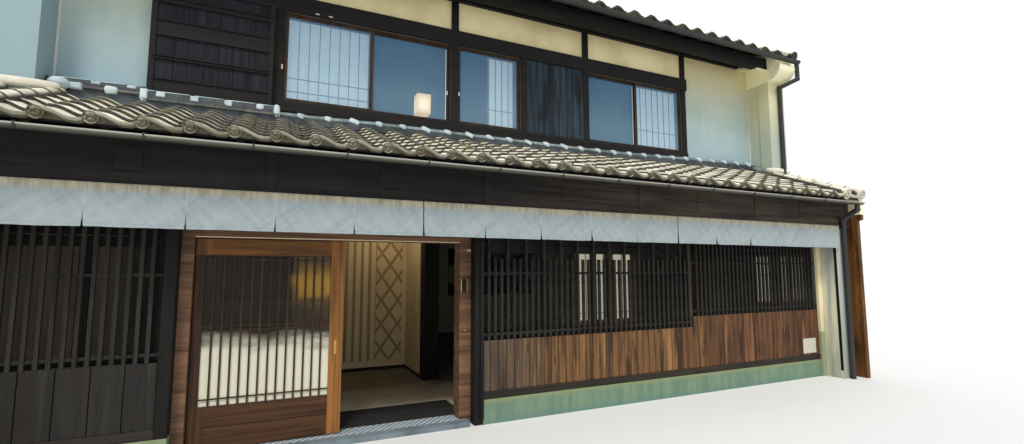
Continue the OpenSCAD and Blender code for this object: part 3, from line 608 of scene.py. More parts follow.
def doorTone(wood):
    # A lighter pull stile and darker boards at the foot
    look = timberLook
    z = wood.on("Z")
    edge = look["pullStile"]
    stile = wood.on("X").band(edge - 0.0005, edge + 0.0005).highest(z.band(*look["headFrom"], 0.0, 0.6))
    foot = z.fall(*look["footTop"])
    tones = zip(look["door"], look["bottom"], look["stile"])
    tones = [wood.mix(stile, wood.mix(foot, door, bottom), pull) for door, bottom, pull in tones]
    rails = betweenStiles(wood)
    for seam in look["seams"]:
        joint = z.within(*seam, 0.002) * rails
        tones = [wood.mix(joint * 0.85, tone, look["joint"]) for tone in tones]
    return tones


def betweenStiles(wood):
    # The rails at the head and the foot of a leaf, whose grain runs across
    look = timberLook
    z = wood.on("Z")
    low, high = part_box("front_leaf")
    inside = wood.on("X").within(low[0] + high[0] - look["pullStile"], look["pullStile"])
    return inside * z.fall(*look["footTop"]).highest(z.band(*look["headFrom"]))


darkTimber = timberFinish("dark timber", timberLook["dark"])
beamTimber = timberFinish("beam timber", timberLook["beam"])
weatheredTimber = timberFinish("weathered timber", None, 0.7, streaks=0.6, tone=weatheredTone)
latticeTimber = timberFinish("lattice timber", timberLook["lattice"], 0.68)
sashWood = timberFinish("sash wood", timberLook["sash"], 0.6)
doorWood = timberFinish("door wood", None, 0.5, streaks=0.2, spread=0.2, tone=doorTone, across=betweenStiles)
frameWood = timberFinish("frame wood", timberLook["frame"], 0.5, streaks=0.3, spread=0.2)
brownBoards = timberFinish("brown boards", timberLook["boards"], 0.7, knots=0.8, streaks=0.75, spread=0.6)
cheekWood = timberFinish("cheek wood", timberLook["cheek"], 0.65, knots=0.6, streaks=0.7, spread=0.2)


postLook = {
    "sides": {"front_posts": (-0.966, -0.916), "door_frame": (-0.945, -0.902)},   # by the entrance: from, to
    "hidden": (2.19, 2.255), "face": -3.95, "behind": -3.937,                     # behind the boards
}


def copyWood(name, material, slotName, edge, body="house", seed=1):
    # The CAD's wood with eased edges; the jamb and two of the posts stand where the photo shows them
    look = postLook
    left, right = look["hidden"]
    side, moved = look["sides"].get(name, (None, None))
    bm = copyNode(name)
    for vert in bm.verts:
        if name == "front_posts" and left < vert.co.x < right and vert.co.y < look["face"]:
            vert.co.y = look["behind"]
        if side and abs(vert.co.x - side) < 0.002:
            vert.co.x = moved
    addWood(name + "_eased", bm, material, slotName, (name,), body, edge, seed)


for seed, (node, material, slotName, edge) in enumerate([
    ("front_posts", weatheredTimber, "dark_timber", 0.004),
    ("front_beam", darkTimber, "dark_timber", 0.004),
    ("main_lattice", latticeTimber, "dark_timber", 0.002),
    ("right_lattice", latticeTimber, "dark_timber", 0.002),
    ("left_lattice", latticeTimber, "dark_timber", 0.002),
    ("ground_windows", darkTimber, "dark_timber", 0.002),
    ("door_frame", frameWood, "door_wood", 0.004),
    ("fascia_board", weatheredTimber, "dark_timber", 0.003),
    ("eave_purlin", darkTimber, "dark_timber", 0.004),
    ("pent_boards", darkTimber, "dark_timber", 0.003),
    ("upper_frame", darkTimber, "dark_timber", 0.004),
    ("upper_sashes", sashWood, "dark_timber", 0.002),
    ("back_windows", darkTimber, "dark_timber", 0.003),
    ("eave_frame", darkTimber, "dark_timber", 0.004),
    ("main_boards", darkTimber, "dark_timber", 0.002),
    ("inner_pillar", darkTimber, "dark_timber", 0.004),
    ("upper_floor", brownBoards, "brown_boards", 0.003),
    ("end_cheeks", cheekWood, "brown_boards", 0.003),
]):
    copyWood(node, material, slotName, edge, seed=seed)

for node in ("front_leaf", "rear_leaf"):
    copyWood(node, doorWood, "door_wood", 0.002, "door_" + node)
print("stage: plaster and timber")


# Roof tiles

tileLook = {
    "pitch": 0.3115,      # across the slope, from crest to crest
    "course": 0.235,      # up the slope, from one foot to the next
    "lap": 0.045,         # what the next course covers
    "thick": 0.030,       # at its foot
    "thin": 0.012,        # at its head
    "wave": 0.058,
    "bead": 0.09,         # how far a tile laps over its left neighbour
    "tuck": 0.016,        # how deep its right edge lies under the next one
    "columns": 13,
    "nose": 0.050,        # height of an eave tile's rounded front edge
    "lipFront": 0.026,    # the lip hangs this far behind that edge
    "lipBack": 0.034,
    "lipDrop": 0.097,
    "lipRound": (0.024, 4),     # bevel of an eave tile's edge and of the others' feet
    "footRound": (0.005, 1),
    "discRadius": 0.051,
    "discSink": 0.050,
    "discFront": -0.004,
    "wobble": 0.0035,
    # Painted light and shade: top is the tiles' colour lit from above, front their colour in shade
    "top": (shade(252, 246, 226), shade(202, 194, 172)),
    "front": (shade(66, 64, 55), shade(38, 37, 32)),
    "lip": (shade(124, 118, 98), shade(84, 80, 66)),
    "moss": shade(118, 110, 66),
    # The eaves of the pent roof and of the main roof's front and back, and the height that parts the two roofs
    "pentEave": (-4.445, -4.435), "frontEave": (-3.465, -3.455), "backEave": (4.445, 4.455),
    "mainFrom": (4.9, 5.0),
}


def slopeMatrix(roof):
    # Across, up the slope and square to it become X, Y and Z
    tilt = Matrix.Rotation(math.atan(roof["slope"]), 4, "X")
    return Matrix.Translation((0, roof["foot"], roof["footZ"])) @ tilt


def bothSlopes(roof):
    front = slopeMatrix(roof)
    return front, Matrix.Translation((0, 2 * roof["ridgeY"], 0)) @ Matrix.Rotation(math.pi, 4, "Z") @ front


def upSlope(roof, y):
    return (y - roof["foot"]) * math.hypot(1, roof["slope"])


def courseFeet(length, step, lap):
    # Where each course starts, and how much of its length fits
    for row in range(math.ceil((length - lap) / step)):
        yield row * step, min(1.0, (length - row * step) / (step + lap))


def softStep(value):
    value = min(1.0, max(0.0, value))
    return value * value * (3 - 2 * value)


def waveDrop(share):
    # From a broad crest down to the trough, and steeply up under the next tile's crest
    if share < 0:
        depth = 0.35 * (share / tileLook["bead"]) ** 2
    else:
        depth = softStep((share - 0.11) / 0.53) - softStep((share - 0.79) / 0.25)
    tuck = tileLook["tuck"] * max(0, (share - 0.84) / 0.16)
    return -tileLook["wave"] * depth - tuck


def waveTile(start=None, end=1.0, lip=False):
    # One tile at the origin: its crest on the Y axis, its foot at y = 0
    start = -tileLook["bead"] if start is None else start
    bm = bmesh.new()
    count = max(2, round(tileLook["columns"] * (end - start)))
    bmesh.ops.create_grid(bm, x_segments=count, y_segments=1, size=0.5)
    length = tileLook["course"] + tileLook["lap"]
    lean = tileLook["thick"] / tileLook["course"]
    for vert in bm.verts:
        share = start + (vert.co.x + 0.5) * (end - start)
        up = (vert.co.y + 0.5) * length
        vert.co = (share * tileLook["pitch"], up, waveDrop(share) - up * lean)
    foot = [v for v in bm.verts if v.co.y < 1e-4]
    grown = bmesh.ops.extrude_face_region(bm, geom=bm.faces[:], use_keep_orig=True)["geom"]
    for vert in grown:
        if isinstance(vert, bmesh.types.BMVert):
            vert.co.z -= tileLook["thick"] if vert.co.y < 1e-4 else tileLook["thin"]
    if lip:
        foot += shapeLip(bm)
    edge = [e for e in bm.edges if all(v in foot for v in e.verts)]
    bevel(bm, edge, *tileLook["lipRound" if lip else "footRound"])
    return asMesh(bm, "tile", 50)


def shapeLip(bm):
    # An eave tile's foot: a thick rounded nose, and behind it a lip that hangs down before the boards
    look = tileLook
    upright = [
        e for e in bm.edges
        if max(v.co.y for v in e.verts) < 1e-4 and abs(e.verts[0].co.x - e.verts[1].co.x) < 1e-5]
    bmesh.ops.subdivide_edges(bm, edges=upright, cuts=2, use_grid_fill=True)
    lines = {}
    for vert in bm.verts:
        if vert.co.y < 1e-4:
            lines.setdefault(round(vert.co.x, 5), []).append(vert)
    noseFoot = []
    for line in lines.values():
        lowest, lower, upper, top = sorted(line, key=lambda vert: vert.co.z)
        upper.co.z = top.co.z - look["nose"]
        lower.co = (lower.co.x, look["lipFront"], upper.co.z)
        lowest.co = (lowest.co.x, look["lipFront"], -look["lipDrop"])
        noseFoot.append(upper)
    cut = bmesh.ops.bisect_plane(
        bm, geom=bm.verts[:] + bm.edges[:] + bm.faces[:],
        plane_co=(0, look["lipBack"], 0), plane_no=(0, 1, 0))["geom_cut"]
    for vert in cut:
        if isinstance(vert, bmesh.types.BMVert):
            wave = waveDrop(vert.co.x / look["pitch"])
            if vert.co.z < wave - 0.012:
                vert.co.z = wave - look["thick"] - 0.002
    return noseFoot


def discMesh(radius, thick):
    # A round tile end that faces down the slope, with a rim and three curled drops in a ring
    bm = bmesh.new()
    bmesh.ops.create_cone(
        bm, cap_ends=True, segments=22, radius1=radius, radius2=radius, depth=thick,
        matrix=Matrix.Translation((0, thick / 2 - 0.007, 0)) @ quarter["X"])
    face = min(bm.faces, key=lambda f: f.calc_center_median().y)
    for width, depth in ((radius * 0.16, 0), (0.002, -0.011), (radius * 0.16, 0), (0.003, 0.007)):
        bmesh.ops.inset_individual(bm, faces=[face], thickness=width, depth=depth)
    for turn in range(3):
        drop = bmesh.ops.create_cone(
            bm, cap_ends=True, segments=7, radius1=radius * 0.24, radius2=radius * 0.15, depth=0.006)["verts"]
        for vert in drop:
            tail = max(0, vert.co.x) / radius
            vert.co.x += tail * radius * 1.4
            vert.co.y += tail * tail * radius * 3.0
        place = Matrix.Rotation(math.radians(120 * turn), 4, "Y") @ Matrix.Translation((0, -0.004, -radius * 0.36))
        bmesh.ops.transform(bm, matrix=place @ quarter["X"], verts=drop)
    return asMesh(bm, "disc", 40)


def tileSlope(bm, matrix, columns, length, seed, edgeTiles=()):
    # Courses of waved tiles, with the eave course first. A column is the place of a tile's crest.
    chance = random.Random(seed)
    wobble = tileLook["wobble"]
    whole = (waveTile(), waveTile(lip=True))
    tiles = [(x, *whole) for x in columns]
    tiles += [(x, waveTile(start, end), waveTile(start, end, True)) for x, start, end in edgeTiles]
    for row, (foot, squeeze) in enumerate(courseFeet(length, tileLook["course"], tileLook["lap"])):
        for x, mesh, eaveMesh in tiles:
            jitter = [chance.uniform(-wobble, wobble) for _ in range(4)]
            if row == 0:
                jitter = [value * 0.4 for value in jitter]
            place = (
                Matrix.Translation((x + jitter[0], foot + jitter[1] + wobble, jitter[2] * 0.4 - 0.001))
                @ Matrix.Rotation(jitter[3] * 4, 4, "Z") @ Matrix.Diagonal((1, squeeze, 1, 1)))
            addMesh(bm, eaveMesh if row == 0 else mesh, matrix @ place)


def addDiscs(bm, matrix, columns, seed):
    chance = random.Random(seed)
    disc = discMesh(tileLook["discRadius"], 0.03)
    for x in columns:
        turned = Matrix.Rotation(chance.uniform(0, 2), 4, "Y")
        place = Matrix.Translation((x, tileLook["discFront"] + 0.007, -tileLook["discSink"]))
        addMesh(bm, disc, matrix @ place @ turned)


coverLook = {
    "length": 0.27,
    "radius": 0.080,
    "rim": 0.086,
    "rimLength": 0.032,
    "lap": 0.03,
    "sink": 0.036,      # how far its axis lies under the crest line
    "steps": 12,
    "sweep": 200,       # degrees
}


def coverTile(length, radius, rim, rimLength, steps=10):
    # A half round tile that runs up the Y axis, with a rounded rim at its foot
    bm = bmesh.new()
    outline = [
        (0.0, radius - 0.022), (0.0, rim - 0.006), (0.006, rim), (rimLength - 0.006, rim),
        (rimLength, rim - 0.004), (rimLength + 0.004, radius), (length + coverLook["lap"], radius - 0.004)]
    verts = [bm.verts.new((distance, along, 0)) for along, distance in outline]
    edges = [bm.edges.new(pair) for pair in zip(verts, verts[1:])]
    sweep = math.radians(coverLook["sweep"])
    start = Matrix.Rotation((sweep - math.pi) / 2, 3, "Y")
    bmesh.ops.rotate(bm, cent=(0, 0, 0), matrix=start, verts=verts)
    bmesh.ops.spin(
        bm, geom=verts + edges, cent=(0, 0, 0), axis=(0, -1, 0), dvec=(0, 0, 0),
        angle=sweep, steps=steps, use_merge=False, use_duplicate=False)
    bmesh.ops.solidify(bm, geom=bm.faces[:], thickness=0.014)
    return asMesh(bm, "cover", 40)


def coverRow(bm, matrix, length, seed):
    # Half round tiles up the slope, with a disc at their foot
    chance = random.Random(seed)
    look = coverLook
    whole = coverTile(look["length"], look["radius"], look["rim"], look["rimLength"], look["steps"])
    for foot, squeeze in courseFeet(length, look["length"], look["lap"]):
        tip = Matrix.Rotation(math.radians(chance.uniform(-0.6, 0.6)), 4, "Z")
        place = Matrix.Translation((0, foot, -look["sink"])) @ tip @ Matrix.Diagonal((1, squeeze, 1, 1))
        addMesh(bm, whole, matrix @ place)
    addMesh(bm, discMesh(look["rim"], 0.03), matrix @ Matrix.Translation((0, 0.0075, -look["sink"])))


def valleyTiles(bm, matrix, left, right, length):
    # Plain dished tiles in the narrow strip beside or between two half round rows
    tile = bmesh.new()
    bmesh.ops.create_grid(tile, x_segments=5, y_segments=1, size=0.5)
    reach = tileLook["course"] + tileLook["lap"]
    for vert in tile.verts:
        across = vert.co.x * 2
        up = (vert.co.y + 0.5) * reach
        lift = 0.012 * across * across - tileLook["wave"] - up * tileLook["thick"] / tileLook["course"]
        vert.co = ((left + right) / 2 + across * (right - left) / 2, up, lift)
    bmesh.ops.solidify(tile, geom=tile.faces[:], thickness=tileLook["thick"])
    mesh = asMesh(tile, "valley", 40)
    for foot, squeeze in courseFeet(length, tileLook["course"], tileLook["lap"]):
        addMesh(bm, mesh, matrix @ Matrix.Translation((0, foot, 0)) @ Matrix.Diagonal((1, squeeze, 1, 1)))


def onNose(clay):
    # The rounded noses of the pent roof's eave tiles, which stand before their lips
    roof = pentRoof
    rise = (clay.on("Z") - roof["footZ"]) * roof["slope"]
    along = (clay.on("Y") - roof["foot"] + rise) * (1 / math.hypot(1, roof["slope"]))
    return along.fall(tileLook["lipFront"] - 0.006, tileLook["lipFront"])


def tileFinish(name, noses=True):
    clay = Finish(name)
    look = tileLook
    tint = clay.attribute("tint")
    up = clay.axis(clay.node("ShaderNodeNewGeometry", output="Normal"), "Z")
    patches = clay.noise(clay.place, 7, detail=5, rough=0.65)
    specks = clay.noise(clay.place, 60, detail=4, rough=0.7)
    weather = patches * 0.55 + specks * 0.45
    top = clay.mix((weather + tint * 0.22).band(0.40, 0.78), *look["top"])
    front, lip = (clay.mix(weather.band(0.35, 0.65), *look[part]) for part in ("front", "lip"))
    # At the eaves the pent roof's lips keep their lighter colour, the feet of the courses above carry painted
    # shade, and the noses take the lit top colour as a painted highlight
    y = clay.on("Y")
    high = clay.on("Z").band(*look["mainFrom"])
    eaves = y.fall(*look["pentEave"]) + high * y.fall(*look["frontEave"]) + high * y.band(*look["backEave"])
    # Faces turned up take the lit top colour and the rest the shaded front colour: painted sunlight and painted
    # shade
    colour = clay.mix(up.band(0.45, 0.85), front, top)
    sunlitMask = up.band(0.30, 0.60)
    if noses:
        sunlitMask = sunlitMask.highest(onNose(clay) * (1 - high) * (up + patches * 0.3).band(-0.45, -0.05))
    colour = clay.mix(eaves, colour, clay.mix(sunlitMask, clay.mix(high, lip, front), top))
    green = clay.noise(clay.place, 3.2, detail=4).band(0.50, 0.68, 0.0, 0.5) * up.fall(0.6, 0.9)
    colour = clay.mix(green, colour, look["moss"])
    return clay.surface(colour, weather.band(0.3, 0.7, 0.62, 0.9), clay.bump(weather, 0.004))


pentRoof = {
    "slope": 0.37, "foot": -4.5, "footZ": 2.805, "top": -2.862,
    "firstCrest": -4.4725, "crests": 30, "half": 5.345,
    "rowsLeft": (-4.784, -5.14), "rowsRight": (4.925, 5.28),
    "sleeveY": -3.287, "innerRowTop": -3.112,
    "rise": 0.05, "riseFrom": 1.5, "riseRun": 3.5,   # its right end is a little steeper
}
mainRoof = {
    "slope": 0.45, "foot": -3.52, "footZ": 5.438, "ridgeY": 0.495, "ridgeGap": 0.03,
    "firstCrest": -4.4725, "vergeX": 5.32, "edgeLap": 0.06,
}
roofTile = tileFinish("roof tile")
discTile = tileFinish("eave disc", noses=False)


def riseAtRight(bm):
    roof = pentRoof
    for vert in bm.verts:
        up = (vert.co.y - roof["foot"]) / (roof["top"] - roof["foot"])
        along = softStep((vert.co.x - roof["riseFrom"]) / roof["riseRun"])
        vert.co.z += roof["rise"] * along * min(1.0, max(0.0, up))


def makePentTiles():
    roof = pentRoof
    lift = slopeMatrix(roof)
    columns = [roof["firstCrest"] + tileLook["pitch"] * i for i in range(-1, roof["crests"])]
    bm = bmesh.new()
    tileSlope(bm, lift, columns, upSlope(roof, roof["top"]), seed=3)
    toSleeve = upSlope(roof, roof["sleeveY"])
    left = roof["rowsLeft"]
    right = roof["rowsRight"]
    valleyTiles(bm, lift, left[1] + 0.05, left[0] - 0.05, toSleeve)
    valleyTiles(bm, lift, right[0] + 0.05, right[1] - 0.05, toSleeve)
    valleyTiles(bm, lift, -roof["half"], left[1] - 0.05, toSleeve)
    riseAtRight(bm)
    addTiles("pent_roof_tiles", bm, roofTile, 5, ("pent_tiles",))

    bm = bmesh.new()
    addDiscs(bm, lift, columns[1:], 7)
    addTiles("pent_eave_discs", bm, discTile, 6)

    bm = bmesh.new()
    for seed, x in enumerate((*left, *right)):
        top = roof["innerRowTop"] if x == left[0] else roof["sleeveY"]
        coverRow(bm, lift @ Matrix.Translation((x, 0, 0)), upSlope(roof, top), seed)
    riseAtRight(bm)
    addTiles("pent_cover_rows", bm, roofTile, 8, ("pent_end_ridges",))


def makeMainTiles():
    roof = mainRoof
    pitch = tileLook["pitch"]
    edge = roof["vergeX"] - roof["edgeLap"]
    columns = [roof["firstCrest"] + pitch * i for i in range(-2, 31)]
    cuts = [
        (columns[0] - pitch, (-edge - columns[0] + pitch) / pitch, 1.0),
        (columns[-1] + pitch, -tileLook["bead"], (edge - columns[-1] - pitch) / pitch)]
    length = upSlope(roof, roof["ridgeY"] - roof["ridgeGap"])
    for name, place, stands in zip(("front", "back"), bothSlopes(roof), (("main_tiles",), ())):
        bm = bmesh.new()
        tileSlope(bm, place, columns, length, 11, cuts)
        addTiles("main_roof_tiles_" + name, bm, roofTile, 12, stands)
        bm = bmesh.new()
        addDiscs(bm, place, columns, 13)
        addTiles("main_eave_discs_" + name, bm, discTile, 14)


makePentTiles()
makeMainTiles()
print("stage: roof tiles")


# The tile course and mortar where the pent roof meets the upper wall

flashing = {
    "y": -2.883, "top": 3.448, "radius": 0.050, "pitch": 0.2965,
    "left": -2.903, "firstJoint": -2.63, "right": 4.91,
    "bedFront": -2.935, "bedFoot": 3.31, "wall": -2.827,
    "rises": ((0.02, -2.9, 1.5), (0.085, 1.2, 3.9)),      # how much, from where, over what length
    "stepLeft": -4.91, "turn": -4.137, "stepY": -3.017, "stepTop": 3.463, "stepFoot": 3.24,
    "lowY": -3.077, "lowZ": 3.346, "lowRadius": 0.030,
    "blocks": (-4.0, -3.704, -3.396, -3.096), "lowJoints": (-3.832, -3.521, -3.239),
    "leftRise": 0.036, "leftBlocks": (-4.812, -4.535, -4.253), "leftLumps": (-4.67, -4.402),
    "body": (shade(134, 148, 148), shade(84, 98, 98), shade(60, 68, 66), shade(30, 35, 35)),
    "low": (shade(96, 92, 82), shade(52, 51, 48)),
    "bed": (shade(64, 73, 78), shade(34, 40, 46)),
    "mortar": (shade(196, 210, 216), shade(158, 176, 186)),
    "fillet": (shade(232, 224, 204), shade(206, 200, 184)),
}


def riseAlongWall(bm):
    # The course climbs a little to the right
    for vert in bm.verts:
        vert.co.z += sum(rise * softStep((vert.co.x - start) / run) for rise, start, run in flashing["rises"])


def courseFinish(name, colours, leftColours=None):
    clay = Finish(name)
    patches = clay.noise(clay.place, 9, detail=5, rough=0.65)
    mask = (patches + clay.attribute("tint") * 0.2).band(0.40, 0.78)
    colour = clay.mix(mask, *colours)
    if leftColours:
        colour = clay.mix(clay.on("X").band(-2.92, -2.88), clay.mix(mask, *leftColours), colour)
    return clay.surface(colour, 0.6, clay.bump(patches, 0.003))


courseTile = courseFinish("course tile", flashing["body"][:2], flashing["body"][2:])
lowTile = courseFinish("low course tile", flashing["low"])
bedMortar = courseFinish("bed mortar", flashing["bed"])
mortarWhite = plasterFinish("mortar", flashing["mortar"], 6.0)
filletWhite = plasterFinish("fillet", flashing["fillet"], 6.0)


def addLump(bm, centre, size, chance, square=0.62, uneven=1.0, lean=0.0):
    # A rounded lump of mortar, a little uneven
    turn = chance.uniform(0, 6)
    tilt = Matrix.Rotation(math.radians(lean), 3, "Y")
    for vert in bmesh.ops.create_icosphere(bm, subdivisions=3, radius=1.0)["verts"]:
        wave = 0.06 * math.sin(5 * vert.co.x + turn) + 0.05 * math.sin(7 * vert.co.z + 2 * turn)
        shaped = [
            math.copysign(abs(part) ** square, part) * (1 + wave * uneven) * whole / 2
            for part, whole in zip(vert.co, size)]
        vert.co = Vector(centre) + tilt @ Vector(shaped)


def layCourse(bm, y, z, radius, left, right, joints):
    # Half round tiles along the wall, each with its fat end at the right
    ends = [left] + [x for x in joints if left + 0.05 < x < right - 0.02] + [right]
    for start, end in zip(ends, ends[1:]):
        tile = coverTile(end - start - 0.03, radius, radius * 1.12, radius)
        addMesh(bm, tile, Matrix.Translation((end, y, z)) @ quarter["Z"])


def makeFlashing():
    look = flashing
    chance = random.Random(4)
    joints = [look["firstJoint"] + look["pitch"] * i for i in range(26)]
    axisZ = look["top"] - look["radius"]
    stepZ = look["stepTop"] - look["radius"]
    left, turn, right = look["stepLeft"], look["turn"], look["left"]
    lowY, lowZ = look["lowY"], look["lowZ"]
    rise = look["leftRise"]
    roof = pentRoof

    bm = bmesh.new()
    layCourse(bm, look["y"], axisZ, look["radius"], right, look["right"], joints)
    riseAlongWall(bm)
    layCourse(bm, look["stepY"], stepZ, look["radius"], turn, right, look["blocks"])
    layCourse(bm, look["stepY"] + 0.03, stepZ + rise, look["radius"], left, turn, look["leftBlocks"])
    foot = upSlope(roof, roof["sleeveY"] + 0.03)
    for x, head, up in ((look["right"] - 0.045, look["y"], 0.05), (left + 0.045, lowY, 0.0)):
        tile = coverTile(upSlope(roof, head) - foot, 0.042, 0.047, 0.03)
        place = slopeMatrix(roof) @ Matrix.Translation((x, foot, 0.004))
        addMesh(bm, tile, Matrix.Translation((0, 0, up)) @ place)
    addTiles("flashing_course", bm, courseTile, 21, ("wall_flashing",))

    bm = bmesh.new()
    layCourse(bm, lowY, lowZ, look["lowRadius"], turn, right, look["lowJoints"])
    layCourse(bm, lowY + 0.01, lowZ + rise + 0.01, look["lowRadius"], left, turn, look["leftLumps"])
    addTiles("flashing_low_course", bm, lowTile, 24)

    bm = bmesh.new()
    for start, end in zip([right] + joints, joints + [look["right"]]):
        addBox(bm, (start, look["bedFront"], look["bedFoot"]), (end, look["wall"], axisZ))
    riseAlongWall(bm)
    addBox(bm, (turn, lowY, look["stepFoot"]), (right, look["wall"], stepZ))
    addBox(bm, (left, lowY + 0.01, look["stepFoot"]), (turn, look["wall"], stepZ + rise))
    addTiles("flashing_bed", bm, bedMortar, 22)

    bm = bmesh.new()
    for x in joints:
        size = (0.128 + chance.uniform(-0.014, 0.016), 0.112, 0.080 + chance.uniform(-0.008, 0.006))
        addLump(bm, (x - 0.040, look["y"] - 0.006, axisZ + 0.012), size, chance, 0.8, lean=20)
    riseAlongWall(bm)
    for x in look["blocks"]:
        addLump(bm, (x, look["stepY"] - 0.022, stepZ + 0.006), (0.08, 0.09, 0.066), chance, 0.4)
    for x in look["leftBlocks"]:
        addLump(bm, (x, look["stepY"] + 0.008, stepZ + rise + 0.006), (0.084, 0.09, 0.07), chance, 0.5)
    for x in look["leftLumps"]:
        addLump(bm, (x, lowY + 0.006, lowZ + rise + 0.02), (0.11, 0.085, 0.072), chance)
    for x in (turn, right - 0.025):
        addLump(bm, (x, look["stepY"] - 0.03, 3.398), (0.068, 0.13, 0.132), chance, 0.55)
    foot, top = stepZ + 0.034, look["stepTop"] + 0.004
    addBox(bm, (turn, look["stepY"] - 0.012, foot), (right, -2.96, top))
    addBox(bm, (left, look["stepY"] + 0.018, foot + rise), (turn, look["wall"], top + rise))
    addLump(bm, (left + 0.12, lowY - 0.03, lowZ + rise + 0.02), (0.16, 0.12, 0.10), chance)
    smoothFaces(bm, 40)
    addPiece("flashing_mortar", bm, mortarWhite, "plaster")

    bm = bmesh.new()
    for side, up in ((-1, 0.0), (1, 0.045)):
        z = roof["footZ"] + roof["slope"] * (roof["sleeveY"] - roof["foot"]) + up
        addLump(bm, (side * 5.03, roof["sleeveY"] - 0.004, z + 0.060), (0.62, 0.08, 0.085), chance, 0.75, 0.2)
    smoothFaces(bm, 40)
    addPiece("sleeve_fillets", bm, filletWhite, "plaster")


# The main ridge, and the half round rows down the verges

ridgeLook = {
    "courses": 5, "courseHeight": 0.034, "width": 0.24, "taper": 0.014,
    "foot": 0.04, "tile": 0.30, "half": 5.4, "capRadius": 0.076, "capLength": 0.27,
}


def makeRidge():
    look = ridgeLook
    roof = mainRoof
    y = roof["ridgeY"]
    top = roof["footZ"] + roof["slope"] * (y - roof["foot"])
    bm = bmesh.new()
    count = round(2 * look["half"] / look["tile"])
    step = 2 * look["half"] / count
    addBox(bm, (-look["half"], y - 0.16, top - 0.07), (look["half"], y + 0.16, top + look["foot"] - 0.002))
    for row in range(look["courses"]):
        half = (look["width"] - look["taper"] * row) / 2
        z = top + look["foot"] + row * look["courseHeight"]
        addBox(bm, (-look["half"], y - half + 0.02, z - 0.01), (look["half"], y + half - 0.02, z + 0.036))
        for i in range(count):
            left = -look["half"] + i * step
            addBox(bm, (left + 0.002, y - half, z), (left + step - 0.002, y + half, z + 0.026))
    easeEdges(bm, 0.004)
    stack = asMesh(bm, "courses")
    bm = bmesh.new()
    addMesh(bm, stack, Matrix())
    capZ = top + look["foot"] + look["courses"] * look["courseHeight"]
    layCourse(
        bm, y, capZ, look["capRadius"], -look["half"] + 0.02, look["half"] - 0.02,
        [-look["half"] + look["capLength"] * i for i in range(1, 40)])
    for side in (-1, 1):
        end = discMesh(0.078, 0.03)
        turn = Matrix.Rotation(math.radians(90 * side), 4, "Z")
        addMesh(bm, end, Matrix.Translation((side * look["half"] - side * 0.018, y, capZ)) @ turn)
    for x in (-roof["vergeX"], roof["vergeX"]):
        for seed, place in enumerate(bothSlopes(roof), 31):
            coverRow(bm, place @ Matrix.Translation((x, 0, 0)), upSlope(roof, y - 0.21), seed)
    addTiles("ridge_and_verges", bm, roofTile, 23, ("main_ridge",))


makeFlashing()
makeRidge()
print("stage: flashing and ridge")


# Boards and screens of the upper storey

slateLook = {
    "shutter": (shade(38, 41, 49), shade(13, 14, 18)),
    "panel": (shade(58, 74, 86), shade(20, 28, 36)),
}
slateBoards = timberFinish("slate boards", slateLook["shutter"], 0.75, streaks=0.5, spread=0.6)
panelBoards = timberFinish("panel boards", slateLook["panel"], 0.75, streaks=0.75, spread=0.75)


def boardRow(bm, edges, front, back, foot, top, joint, seed, uneven):
    # Upright boards side by side, each a little behind the front plane
    chance = random.Random(seed)
    for left, right in zip(edges, edges[1:]):
        face = front + chance.uniform(0, uneven)
        addBox(bm, (left + joint / 2, face, foot), (right - joint / 2, back, top))


def evenEdges(left, right, width):
    count = max(1, round((right - left) / width))
    return [left + (right - left) * i / count for i in range(count + 1)]


shutterBox = {
    "left": -4.146, "right": -2.985, "front": -2.967, "wall": -2.827, "foot": 3.465, "top": 4.683,
    "stile": 0.055, "ledgeHeight": 0.013, "ledgeOut": 0.008,
    "boards": (-4.091, -3.93, -3.805, -3.66, -3.517, -3.38, -3.235, -3.04),
    "panels": ((3.63, 3.837), (3.88, 4.09), (4.268, 4.45), (4.52, 4.64)),
    "planks": ((3.465, 3.63), (3.837, 3.88), (4.09, 4.268), (4.45, 4.52), (4.64, 4.683)),
}


def makeShutterBox():
    box = shutterBox
    left, right, front, wall = (box[key] for key in ("left", "right", "front", "wall"))
    bm = bmesh.new()
    for x in ((left, left + box["stile"]), (right - box["stile"], right)):
        addBox(bm, (x[0], front, box["foot"]), (x[1], wall, box["top"]))
    for foot, top in box["planks"]:
        addBox(bm, (left + box["stile"], front + 0.006, foot), (right - box["stile"], wall, top))
        for z in (foot, top - box["ledgeHeight"]):
            if box["foot"] < z < box["top"] - 0.02:
                addBox(
                    bm, (left + 0.03, front - box["ledgeOut"], z),
                    (right - 0.03, front + 0.01, z + box["ledgeHeight"]))
    addWood("shutter_frame", bm, darkTimber, "dark_timber", ("shutter_box",), edge=0.002, seed=41)
    bm = bmesh.new()
    for row, (foot, top) in enumerate(box["panels"]):
        boardRow(bm, box["boards"], front + 0.012, wall, foot - 0.004, top + 0.004, 0.003, row, 0.004)
    addWood("shutter_boards", bm, slateBoards, "dark_timber", edge=0.0015, seed=42, along=2)


boardPanel = {
    "boards": (0.315, 0.491, 0.657, 0.758, 0.863, 0.974, 1.076, 1.28),
    "front": -2.847, "wall": -2.827, "foot": 3.5985, "top": 4.683,
}


def makeBoardPanel():
    panel = boardPanel
    bm = bmesh.new()
    boardRow(bm, panel["boards"], panel["front"], panel["wall"], panel["foot"], panel["top"], 0.003, 5, 0.006)
    addWood("panel_boards", bm, panelBoards, "dark_timber", ("board_panel",), edge=0.002, seed=43, along=2)


